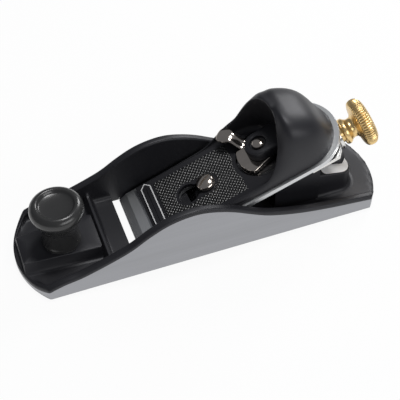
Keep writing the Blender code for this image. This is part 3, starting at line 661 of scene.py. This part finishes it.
def painted_highlight_boss_top():
    # near-white, barely metallic colour of the boss top: a painted highlight that stands for a bright reflection off
    # the ground face
    return metal_material("boss_top_iron", (0.95, 0.95, 0.95), dark=0.97, low=0.4, high=0.5, stretch=30.0,
                          metallic=0.1)


def blade_supports(name):
    """Two rails beside the carrier, the screw boss and the pivot seat, all under the blade."""
    tan = math.tan(BED_ANGLE)
    sheets = []
    for side in (-1, 1):
        ys = np.array([7.4, 7.4, 12.5, 14.0]) * side
        xs = np.array([RAIL_FRONT, RAIL_REAR])
        high = (xs - MOUTH_REAR) * tan
        rows = np.stack([np.stack([np.full(4, x), ys, np.array([FLOOR - 0.5, h, h, FLOOR - 0.5])], -1)
                         for x, h in zip(xs, high)])
        sheets.append(sheet(rows, wrap_columns=True))
        for row in rows:
            sheets.append(fan(row, row.mean(0)))
    for u, r, low, high in ((SCREW_U, 7.5, -13.2, -0.3), (POST_U, 6.0, -24.0, STUD_N - 5.8)):
        side = [(0, low), (r + 1.0, low), (r, low + 1.6), (r, high - 0.5), (r - 0.5, high), (0, high)]
        ring, quads, slot = turn(side, 40)
        sheets.append((on_bed(ring + np.array([u, 0, 0])), quads, slot))
    return make_piece(name, sheets, [body_enamel()], angle=40)


# ---- front knob ----
class BLOCKPLANE_OT_front_knob(bpy.types.Operator):
    """Front knob: a turned neck under a rounded, dished cap"""
    bl_idname = "block_plane.front_knob"
    bl_label = "Front Knob"

    def execute(self, context):
        foot = PAD_TOP + 0.3
        control = [(0, 0), (8.2, 0), (9.0, 0.35), (9.1, 1.2), (8.75, 2.4), (8.45, 5), (8.4, 8.2), (8.7, 11.0),
                   (9.5, 13.4), (10.6, 15.6), (11.6, 17.6), (12.2, 19.4), (12.3, 20.8), (11.95, 22.3), (11.0, 23.5), (9.9, 24.15),
                   (9.1, 24.2), (8.5, 23.9), (7.9, 23.2), (7.3, 22.85), (5.5, 22.5), (3.0, 22.3), (0, 22.25)]
        profile = through(control, 4)
        profile[:, 1] += foot
        mat = enamel_material("knob_plastic", colours().plastic, grain=2200.0, bump=0.05, low=0.26, high=0.34,
                              specular=0.18)
        knob = make_piece("knob", [turn(profile, 96, centre=(KNOB_X, 0, 0))], [mat], angle=60)
        attach(knob, "casting", "front_knob")
        repaint("front_knob_stud", turned_steel())
        return {"FINISHED"}


def through(points, steps):
    """A smooth line through plan points by Catmull-Rom spans, each split into equal steps."""
    p = np.array(points, float)
    padded = np.vstack([2 * p[0] - p[1], p, 2 * p[-1] - p[-2]])
    a, b, c, d = padded[:-3], padded[1:-2], padded[2:-1], padded[3:]
    t = (np.arange(steps) / steps)[None, :, None]
    a, b, c, d = (q[:, None, :] for q in (a, b, c, d))
    line = 0.5 * (2 * b + (c - a) * t + (2 * a - 5 * b + 4 * c - d) * t**2 + (3 * b - a - 3 * c + d) * t**3)
    line = np.vstack([line.reshape(-1, 2), p[-1:]])
    line[:, 0] = np.maximum(line[:, 0], 0)
    return line


def repaint(name, mat):
    """A CAD node keeps its shape and gets a better material in its slot."""
    NODES[name].data.materials.clear()
    NODES[name].data.materials.append(mat)


# ---- blade ----
class BLOCKPLANE_OT_blade(bpy.types.Operator):
    """Ground blade with its bevel, slot and rounded end"""
    bl_idname = "block_plane.blade"
    bl_label = "Blade"

    def execute(self, context):
        blade = polished_copy("cutter", "blade", blade_steel(), 0.12, 2)
        return {"FINISHED"}


# ---- lever cap ----
def end_width(u, half, rear, length):
    """Half width along the bed: straight sides, then a rear end that is half an ellipse."""
    return half * np.sqrt(np.maximum(1 - np.clip((u - rear + length) / length, 0, 1) ** 2, 0))


def crown(u, y):
    """Crowned top of the cap: border height plus rise times the superellipse (1 - |t|^p)^(1/p) across it. The left
    side is fuller beside the scoop."""
    t = np.clip(np.abs(y) / np.maximum(end_width(u, CAP_HALF, CAP_REAR, CAP_END), 0.01), 0, 1)
    blend = np.clip(0.5 + y / 2.0, 0, 1)
    rise = smooth_curve(CROWN_RIGHT, u) * (1 - blend) + smooth_curve(CROWN_LEFT, u) * blend
    return CAP_BASE + CAP_EDGE + rise * (1 - t**CROWN_POWER) ** (1 / CROWN_POWER)


def rest_floor(u, y):
    """Finger rest, slightly dished across."""
    return 4.1 + 0.011 * (u - CAP_FRONT) + 0.0035 * y**2


def scoop_path(front):
    """The scoop's edge in plan: forward along the right side, round the rear, and back along the left side, with
    the point of the centre line that each of its points looks at."""
    straight = np.linspace(front, SCOOP_U, 34)[:-1]
    a = np.radians(np.linspace(-90, 90, 73))
    edge_u = np.concatenate([straight, SCOOP_U + SCOOP_RADIUS * np.cos(a), straight[::-1]])
    edge_y = np.concatenate([np.full(33, -SCOOP_RADIUS), SCOOP_RADIUS * np.sin(a), np.full(33, SCOOP_RADIUS)])
    mid_u = np.concatenate([straight, np.full(73, SCOOP_U), straight[::-1]])
    return edge_u, edge_y, mid_u


def cap_border(edge_u, edge_y, mid_u):
    """Where the line from the centre line through each edge point meets the cap's border, found by halving."""
    du, dy = edge_u - mid_u, edge_y
    low, high = np.ones_like(du), np.full_like(du, 4.0)
    for _ in range(40):
        mid = (low + high) / 2
        u, y = mid_u + du * mid, dy * mid
        inside = (u < CAP_REAR) & (np.abs(y) < end_width(np.minimum(u, CAP_REAR), CAP_HALF, CAP_REAR, CAP_END))
        low, high = np.where(inside, mid, low), np.where(inside, high, mid)
    return mid_u + du * low, dy * low


def cap_surface(crease):
    """The lever cap as rows along the scoop's path: the floor from the centre line outwards, a fillet, the scoop's
    wall, a rounded crease, the crowned outside down to the border, and the underside back to the middle."""
    edge_u, edge_y, mid_u = scoop_path(CAP_FRONT)
    rim_u, rim_y = cap_border(edge_u, edge_y, mid_u)
    reach = np.hypot(edge_u - mid_u, edge_y)
    nu, ny = (edge_u - mid_u) / reach, edge_y / reach
    floor = rest_floor(edge_u, edge_y)
    top = np.maximum(crown(edge_u, edge_y), floor + 0.25)
    tall = top - floor
    fillet, c = np.minimum(2.6, tall * 0.45), np.minimum(crease, tall * 0.4)
    rows = []
    for k in (0.0, 0.25, 0.5, 0.7):
        u, y = mid_u + (edge_u - mid_u) * k, edge_y * k
        rows.append(np.stack([u, y, rest_floor(u, y)], -1))
    for a in np.linspace(0, math.pi / 2, 7):
        back = fillet * (1 - math.sin(a))
        u, y = edge_u - nu * back, edge_y - ny * back
        rows.append(np.stack([u, y, rest_floor(u, y) + fillet * (1 - math.cos(a))], -1))
    for k in (0.33, 0.66):
        rows.append(np.stack([edge_u, edge_y, floor + fillet + (tall - fillet - c) * k], -1))
    span = np.hypot(rim_u - edge_u, rim_y - edge_y)
    shift = np.minimum(c, span * 0.4)
    lip = np.maximum(crown(edge_u + nu * shift, edge_y + ny * shift), floor + 0.2)
    for a in np.linspace(0, math.pi / 2, 5):
        out = shift * (1 - math.cos(a))
        u, y = edge_u + nu * out, edge_y + ny * out
        start = np.minimum(top, lip) - c
        rows.append(np.stack([u, y, start + (lip - start) * math.sin(a)], -1))
    for k in 1 - (1 - np.linspace(0, 1, 36)[1:]) ** 1.9:
        t = shift / np.maximum(span, 0.01) + (1 - shift / np.maximum(span, 0.01)) * k
        u, y = edge_u + (rim_u - edge_u) * t, edge_y + (rim_y - edge_y) * t
        rows.append(np.stack([u, y, np.minimum(crown(u, y), 60)], -1))
    rows[-1][:, 2] = CAP_BASE + CAP_EDGE
    rows.append(np.stack([rim_u, rim_y, np.full_like(rim_u, CAP_BASE + 0.12)], -1))
    inward = 0.2 / np.maximum(np.hypot(rim_u - mid_u, rim_y), 1)
    rows.append(np.stack([rim_u - (rim_u - mid_u) * inward, rim_y * (1 - inward), np.full_like(rim_u, CAP_BASE)], -1))
    rows.append(np.stack([mid_u + (rim_u - mid_u) * 0.5, rim_y * 0.5, np.full_like(rim_u, CAP_BASE)], -1))
    rows.append(np.stack([mid_u, 0 * mid_u, np.full_like(rim_u, CAP_BASE)], -1))
    return np.array(rows)


class BLOCKPLANE_OT_lever_cap(bpy.types.Operator):
    """Lever cap: finger rest, scoop, palm rest, keyhole, and the tongue that holds the cam"""
    bl_idname = "block_plane.lever_cap"
    bl_label = "Lever Cap"

    def execute(self, context):
        surface = on_bed(cap_surface(sizes().crease_round / MM))
        parts = [sheet(surface)]
        for k in (0, -1):
            ring = surface[:, k]
            side = -1 if k == 0 else 1
            parts.append(fan(ring, on_bed(np.array([CAP_FRONT, side * 10.0, 3.3]))))
        cap = make_piece("cap", parts, [cap_enamel()], angle=38)
        tools = []
        pit = arc((CAM_U, 0), CAM_PIT, 0, 360, 72)[:-1]
        tools.append(plate("pit_tool", pit, 0, 12.0, cap_enamel()))
        narrow, wide = 3.3, 5.4
        lean = math.degrees(math.asin(narrow / wide))
        key = np.vstack([arc((SCREW_U, 0), narrow, -90, 90, 20),
                         arc((SCREW_U - KEY_TRAVEL, 0), wide, lean, 360 - lean, 48)])
        tools.append(plate("key_tool", key, 0, 12, cap_enamel()))
        for tool in tools:
            cut_with(cap, tool)
        attach(cap, "cap", "lever_cap")
        rider = tongue("cam_tongue")
        attach(rider, "cap")
        rest = checkering("finger_rest_checkering")
        attach(rest, "cap")
        return {"FINISHED"}


def tongue(name):
    """Round tongue over the cam: a plan with a half-round front, a domed top edge and a round recess."""
    rings = []
    rear = SCOOP_U + SCOOP_RADIUS + 2

    def ring(r, h):
        front = arc((CAM_U, 0), r, 80, 280, 40)
        back = np.array([(rear, -r - 1.0), (rear, r + 1.0)])
        return np.column_stack([np.vstack([front, back]), np.full(len(front) + 2, h)])

    top, low, r = TONGUE_TOP, CAM_HIGH + 0.3, TONGUE_RADIUS
    for d, h in ((0.0, low), (0.0, top - 0.8), (0.25, top - 0.3), (0.8, top)):
        rings.append(ring(r - d, h))
    body = np.array(rings)
    recess = 4.1
    a = np.radians(np.linspace(80, 280, 41))
    hole = [np.column_stack([CAM_U + q * np.cos(a), q * np.sin(a), np.full(41, h)])
            for q, h in ((recess + 0.35, top), (recess, top - 0.35), (recess - 0.1, top - 1.5), (2.2, top - 1.6))]
    rear_a = np.radians(np.linspace(-80, 80, 31))
    rear_hole = [np.column_stack([CAM_U + q * np.cos(rear_a), q * np.sin(rear_a), np.full(31, h)])
                 for q, h in ((recess + 0.35, top), (recess, top - 0.35), (recess - 0.1, top - 1.5), (2.2, top - 1.6))]
    outer_front = body[-1][:41]
    bridge = np.stack([outer_front, hole[0]])
    back_edge = np.column_stack([np.full(31, rear), np.linspace(-r - 0.2, r + 0.2, 31), np.full(31, top)])
    back_bridge = np.stack([back_edge, rear_hole[0]])
    parts = [sheet(on_bed(body), wrap_columns=True), sheet(on_bed(bridge)), sheet(on_bed(np.array(hole))),
             sheet(on_bed(np.array(rear_hole))), sheet(on_bed(back_bridge))]
    side = []
    for s in (1, -1):
        edge = np.array([[outer_front[0 if s > 0 else -1], [rear, s * (r + 0.2), top]],
                         [hole[0][0 if s > 0 else -1], rear_hole[0][-1 if s > 0 else 0]]], float)
        side.append(sheet(on_bed(edge)))
    return make_piece(name, parts + side, [cap_enamel()], angle=40)


def checkering(name):
    """Finger rest checkering: crossed rows of four-sided points, height depth times the product of two triangle
    waves along the diagonals, faded out at the border and round the keyhole."""
    pitch, depth = sizes().checker_pitch / MM, sizes().checker_depth / MM
    u, y = np.meshgrid(np.linspace(18.6, 58.4, 180), np.linspace(-15.6, 15.6, 144), indexing="ij")
    a, b = (u + y) / pitch, (u - y) / pitch
    wave = np.minimum(1 - 2 * np.abs(a % 1 - 0.5), 1 - 2 * np.abs(b % 1 - 0.5))
    key = np.hypot(u - SCREW_U + KEY_TRAVEL, y)
    bar = np.hypot(np.clip(u, SCREW_U - KEY_TRAVEL, SCREW_U) - u, y)
    pit = np.hypot(u - CAM_U, y)
    edge = np.minimum.reduce([15.3 - np.abs(y), (u - 18.9), (58.1 - u), key - 6.2, bar - 5.6, pit - 15.0])
    mask = np.clip(edge / 0.35, 0, 1)
    height = rest_floor(u, y) - 0.12 + mask * (0.14 + depth * wave)
    points = on_bed(np.stack([u, y, height], -1))
    verts, quads, slots = sheet(points)
    keep = (edge.reshape(-1)[quads] > -0.3).all(1)
    obj = make_piece(name, [(verts, quads[keep], slots[keep])], [rest_enamel()], angle=80)
    return obj


def rest_enamel():
    return enamel_material("rest_enamel", colours().enamel, grain=900.0, bump=0.05, low=0.32, high=0.4, specular=0.8)


# ---- small parts on the cap ----
class BLOCKPLANE_OT_cap_fittings(bpy.types.Operator):
    """Cap screw, label, cam lever, rivet and pressure plate"""
    bl_idname = "block_plane.cap_fittings"
    bl_label = "Cap Fittings"

    def execute(self, context):
        seat = float(rest_floor(SCREW_U, 4.5)) + 0.3
        dome = [(4.5 * math.cos(a), seat + 1.15 + 1.95 * math.sin(a)) for a in np.radians(np.linspace(0, 88, 16))]
        shank = [(0, -9.0), (2.6, -9.0), (3.0, -8.6), (3.0, seat), (4.3, seat), (4.5, seat + 0.25)]
        profile = shank + dome + [(0, seat + 3.1)]
        verts, quads, slots = turn(profile, 64)
        placed = on_bed(verts + np.array([SCREW_U, 0, 0]))
        screw = make_piece("cap_screw", [(placed, quads, slots)], [nickel()], angle=35)
        lean = math.radians(28)
        bar = np.array([(-6, -0.55), (6, -0.55), (6, 0.55), (-6, 0.55)])
        spin = np.array([[math.cos(lean), -math.sin(lean)], [math.sin(lean), math.cos(lean)]])
        cut_with(screw, plate("slot_tool", bar @ spin.T + np.array([SCREW_U, 0]), seat + 2.0, seat + 5, nickel()))
        attach(screw, "cap_screw", "lever_cap_screw")

        attach(label_plate("label"), "cap", "lever_cap_label")
        attach(cam_disc("cam_lock_disc"), "cam", "cam_lever")
        arm = cam_arm("cam_lever_arm")
        attach(arm, "cam")

        top = TONGUE_TOP - 1.1
        head = [(0, 2.8), (1.8, 2.8), (1.8, top), (2.8, top), (2.9, top + 0.25), (2.75, top + 0.9), (2.1, top + 1.35),
                (1.0, top + 1.55), (0, top + 1.6)]
        verts, quads, slots = turn(head, 48)
        rivet = make_piece("cam_rivet", [(on_bed(verts + np.array([CAM_U, 0, 0])), quads, slots)], [nickel()], angle=40)
        attach(rivet, "cap", "cam_lever_rivet")
        repaint("pressure_plate", turned_steel())
        return {"FINISHED"}


def label_plate(name):
    """Blank label: loops of one pointed outline, each a step further in; the outer loops are the white line."""
    u, half, length, point = CAP_FRONT + 4.5, 2.6, 15.0, 2.6
    low = float(rest_floor(u + 2.6, 15.0)) + 0.3
    loops = []
    for step, rise in ((0.0, 0.0), (0.0, 0.3), (0.05, 0.35), (0.5, 0.35), (0.52, 0.3), (2.5, 0.3)):
        a, b, c = half - step, length - step * 0.3, point * (1 - step / half)
        plan = np.array([(u - a, -b), (u, -b - c), (u + a, -b), (u + a, b), (u, b + c), (u - a, b)])
        loops.append(np.column_stack([plan, np.full(6, low + rise)]))
    white, _, shader = blank_material("label_white", (0.82, 0.82, 0.82), 0.0)
    shader.inputs["Roughness"].default_value = 0.35
    return make_piece(name, [sheet(on_bed(np.array(loops)), wrap_columns=True, slot=[0, 1, 1, 1, 0])],
                      [cap_enamel(), white], angle=30)


def cam_disc(name):
    """Cam: a round hub and a larger lobe, as one plate with rounded edges."""
    hub = arc((0, 0), 7.4, CAM_REST - 176, CAM_REST + 14, 30)
    lobe = arc((0, 0), 12.2, CAM_REST + 34, CAM_REST + 118, 32)
    disc = plate(name, np.vstack([hub, lobe]) + np.array([CAM_U, 0]), CAM_LOW, CAM_HIGH, nickel())
    return round_edges(disc, 0.7, 4, 40)


def cam_arm(name):
    """Cam lever's arm: a flat rounded section carried outwards from the hub. It climbs by an eased step, widens
    into the finger tab, has a shallow groove along its middle, and its end is half an ellipse."""
    r = np.linspace(5.0, 23.0, 60)[:, None]
    climb, widen = (np.clip((r - a) / b, 0, 1) for a, b in ((8.5, 8.0), (14.5, 4.0)))
    climb, widen = (q * q * (3 - 2 * q) for q in (climb, widen))
    end = np.sqrt(np.maximum(1 - np.clip((r - 20.6) / 2.41, 0, 1) ** 2, 0))
    a = np.linspace(0, math.tau, 48, endpoint=False)[None, :]
    across = (2.7 + 1.3 * widen) * end * np.sign(np.cos(a)) * np.abs(np.cos(a)) ** 0.5
    up = 0.9 * np.sign(np.sin(a)) * np.abs(np.sin(a)) ** 0.6
    up = up * (0.35 + 0.65 * end) - 0.35 * np.exp(-((across / 1.1) ** 2)) * (np.sin(a) > 0) * (1 - widen)
    way = math.radians(ARM_WAY)
    u = CAM_U + r * math.cos(way) - across * math.sin(way)
    y = r * math.sin(way) + across * math.cos(way)
    points = on_bed(np.stack([u, y, np.broadcast_to((CAM_LOW + CAM_HIGH) / 2 + 4.6 * climb + up, u.shape)], -1))
    ends = [fan(points[k], points[k].mean(0)) for k in (0, -1)]
    return make_piece(name, [sheet(points, wrap_columns=True)] + ends, [nickel()], angle=50)


# ---- adjuster ----
class BLOCKPLANE_OT_adjuster(bpy.types.Operator):
    """Depth knob with its knurled rim, lateral lever, post, carrier and stud"""
    bl_idname = "block_plane.adjuster"
    bl_label = "Adjuster"

    def execute(self, context):
        count = sizes().knurls
        u, w, disc = KNOB_DISC_U, 3.7, KNOB_DISC / 2
        f = KNOB_FLANGE_U
        control = [(4.5, 106.0), (4.5, f - 1.5), (5.9, f - 1.45), (6.4, f - 0.9), (6.5, f + 0.4),
                   (6.0, f + 1.2), (5.2, f + 2.0), (4.8, f + 3.2), (5.0, u - w - 1.0), (6.2, u - w - 0.2), (8.6, u - w + 0.3)]
        control += [(disc - 1.9, u - w + 0.55)]
        a = np.linspace(-80, 80, 17)
        edge = [(disc - 1.9 + 1.9 * math.cos(math.radians(b)), u + 2.9 * math.sin(math.radians(b)) - 0.1) for b in a]
        rest = [(disc - 2.2, u + w - 0.5), (9.0, u + w - 0.25), (5.6, u + w), (5.2, u + w - 0.7), (0, u + w - 0.7)]
        profile = np.array(control + edge + rest)

        def knurl(angle, prof):
            place = prof[:, :1]
            depth = np.where((place > disc - 1.75) & (np.abs(prof[:, 1:] - u) < 2.9), 0.045, 0.0)
            tooth = np.abs(((angle * count / math.tau) % 1) - 0.5) * 2
            return 1 - depth * tooth**1.5

        brass = metal_material("brass", colours().brass, pitch=BED_ANGLE, stretch=4.0, scale=900.0, dark=0.85, low=0.3,
                               high=0.4, bump=0.01)
        verts, quads, slots = turn(profile, count * 8, axis="X", ripple=knurl)
        knob = make_piece("brass_knob", [(on_bed(verts + np.array([0, 0, STUD_N])), quads, slots)], [brass], angle=50)
        attach(knob, "depth_screw", "depth_knob")
        lever = polished_copy("lateral_lever", "lateral_arm", bright_steel(), 0.2, 2)
        ring = polished_copy("thrust_washer", "washer", bright_steel(), 0.25, 2)
        post = polished_copy("adjuster_post", "post", turned_steel(), 0.3, 2)
        carrier = polished_copy("blade_carrier", "carrier", turned_steel(), 0.3, 2)
        repaint("adjuster_stud", turned_steel())
        repaint("stud_collar", turned_steel())
        return {"FINISHED"}


def bright_steel():
    return metal_material("bright_steel", (0.80, 0.79, 0.77), pitch=BED_ANGLE, stretch=5.0, scale=700.0,
                          dark=0.9, low=0.16, high=0.24, bump=0.03)


# ---- stage ----
def area_light(name, place, aim, size, power, colour=(1, 1, 1)):
    """A soft rectangular lamp that looks at a point."""
    data = bpy.data.lights.new(name, "AREA")
    data.shape, data.size, data.size_y = "RECTANGLE", size[0], size[1]
    data.energy, data.color = power, colour
    lamp = bpy.data.objects.new(name, data)
    bpy.context.scene.collection.objects.link(lamp)
    lamp.location = place
    lamp.rotation_euler = (Vector(aim) - Vector(place)).to_track_quat("-Z", "Y").to_euler()
    return lamp


def camera():
    """Camera on the line of sight (azimuth, elevation, roll) at its distance from the target."""
    azimuth, elevation, roll, distance = math.radians(19.90), math.radians(48.46), math.radians(-0.24), 0.4389
    target = Vector((-0.69, -4.83, 15.0)) * MM
    level = math.cos(elevation)
    look = Vector((math.sin(azimuth) * level, math.cos(azimuth) * level, -math.sin(elevation)))
    right = Vector((math.cos(azimuth), -math.sin(azimuth), 0))
    up = right.cross(look)
    right, up = (math.cos(roll) * right + math.sin(roll) * up, -math.sin(roll) * right + math.cos(roll) * up)
    data = bpy.data.cameras.new("camera")
    data.lens, data.sensor_width, data.clip_start = sizes().lens, 36, 0.01
    cam = bpy.data.objects.new("camera", data)
    bpy.context.scene.collection.objects.link(cam)
    cam.matrix_world = Matrix.Translation(target - look * distance) @ Matrix(
        (right, up, -look)).transposed().to_4x4()
    bpy.context.scene.camera = cam


class BLOCKPLANE_OT_stage(bpy.types.Operator):
    """Pale floor, soft lamps, world and camera"""
    bl_idname = "block_plane.stage"
    bl_label = "Stage"

    def execute(self, context):
        scene = context.scene
        scene.view_settings.view_transform = "Standard"
        world = bpy.data.worlds.new("studio")
        world.use_nodes = True
        world.node_tree.nodes["Background"].inputs["Color"].default_value = (0.9, 0.93, 1.0, 1)
        world.node_tree.nodes["Background"].inputs["Strength"].default_value = 0.16
        scene.world = world
        reach = 3.0
        mesh = bpy.data.meshes.new("floor")
        corners = [(-reach, -reach, 0), (reach, -reach, 0), (reach, reach, 0), (-reach, reach, 0)]
        mesh.from_pydata(corners, [], [(0, 1, 2, 3)])
        floor = bpy.data.objects.new("floor", mesh)
        scene.collection.objects.link(floor)
        mat, tree, shader = blank_material("floor", colours().floor, 0.0)
        shader.inputs["Roughness"].default_value = 0.9
        shader.inputs["Specular IOR Level"].default_value = 0.0
        glow = node(tree, "ShaderNodeEmission", Strength=1.0)
        path = node(tree, "ShaderNodeLightPath")
        seen = node(tree, "ShaderNodeMath", operation="MAXIMUM")
        seen_all = node(tree, "ShaderNodeMath", operation="MAXIMUM")
        share = node(tree, "ShaderNodeMath", operation="MULTIPLY")
        share.inputs[1].default_value = 0.93
        mix = node(tree, "ShaderNodeMixShader")
        link = tree.links.new
        link(path.outputs["Is Camera Ray"], seen.inputs[0])
        link(path.outputs["Is Glossy Ray"], seen.inputs[1])
        link(seen.outputs[0], seen_all.inputs[0])
        link(path.outputs["Is Transmission Ray"], seen_all.inputs[1])
        link(seen_all.outputs[0], share.inputs[0])
        link(share.outputs[0], mix.inputs[0])
        link(shader.outputs[0], mix.inputs[1])
        link(glow.outputs[0], mix.inputs[2])
        link(mix.outputs[0], tree.nodes["Material Output"].inputs["Surface"])
        mesh.materials.append(mat)
        area_light("key", (0.12, 0.1, 0.85), (0, 0, 0.02), (0.3, 0.18), 3.2)
        area_light("fill", (0.3, -0.7, 0.5), (0, 0, 0.02), (0.7, 0.3), 2.6)
        area_light("rim", (0.55, 0.45, 0.45), (0.03, 0, 0.02), (0.25, 0.3), 2.6)
        camera()
        return {"FINISHED"}


class BLOCKPLANE_PT_panel(bpy.types.Panel):
    """Pieces of the plane and their sizes"""
    bl_idname = "BLOCKPLANE_PT_panel"
    bl_label = "Block Plane"
    bl_space_type = "VIEW_3D"
    bl_region_type = "UI"
    bl_category = "Block Plane"

    def draw(self, context):
        layout = self.layout
        for group in (sizes(), colours()):
            box = layout.box()
            for name in group.__annotations__:
                box.prop(group, name)
        for operator in OPERATORS:
            layout.operator(operator.bl_idname)


OPERATORS = (BLOCKPLANE_OT_casting, BLOCKPLANE_OT_front_knob, BLOCKPLANE_OT_blade, BLOCKPLANE_OT_lever_cap,
             BLOCKPLANE_OT_cap_fittings, BLOCKPLANE_OT_adjuster, BLOCKPLANE_OT_stage)
CLASSES = (BlockPlaneSizes, BlockPlaneColours) + OPERATORS + (BLOCKPLANE_PT_panel,)


def register():
    for cls in CLASSES:
        bpy.utils.register_class(cls)
    bpy.types.Scene.block_plane_sizes = bpy.props.PointerProperty(type=BlockPlaneSizes)
    bpy.types.Scene.block_plane_colours = bpy.props.PointerProperty(type=BlockPlaneColours)


def unregister():
    del bpy.types.Scene.block_plane_sizes
    del bpy.types.Scene.block_plane_colours
    for cls in reversed(CLASSES):
        bpy.utils.unregister_class(cls)


def main():
    register()
    bpy.ops.block_plane.casting()
    bpy.ops.block_plane.front_knob()
    bpy.ops.block_plane.blade()
    bpy.ops.block_plane.lever_cap()
    bpy.ops.block_plane.cap_fittings()
    bpy.ops.block_plane.adjuster()
    bpy.ops.block_plane.stage()


if __name__ == "__main__":
    main()
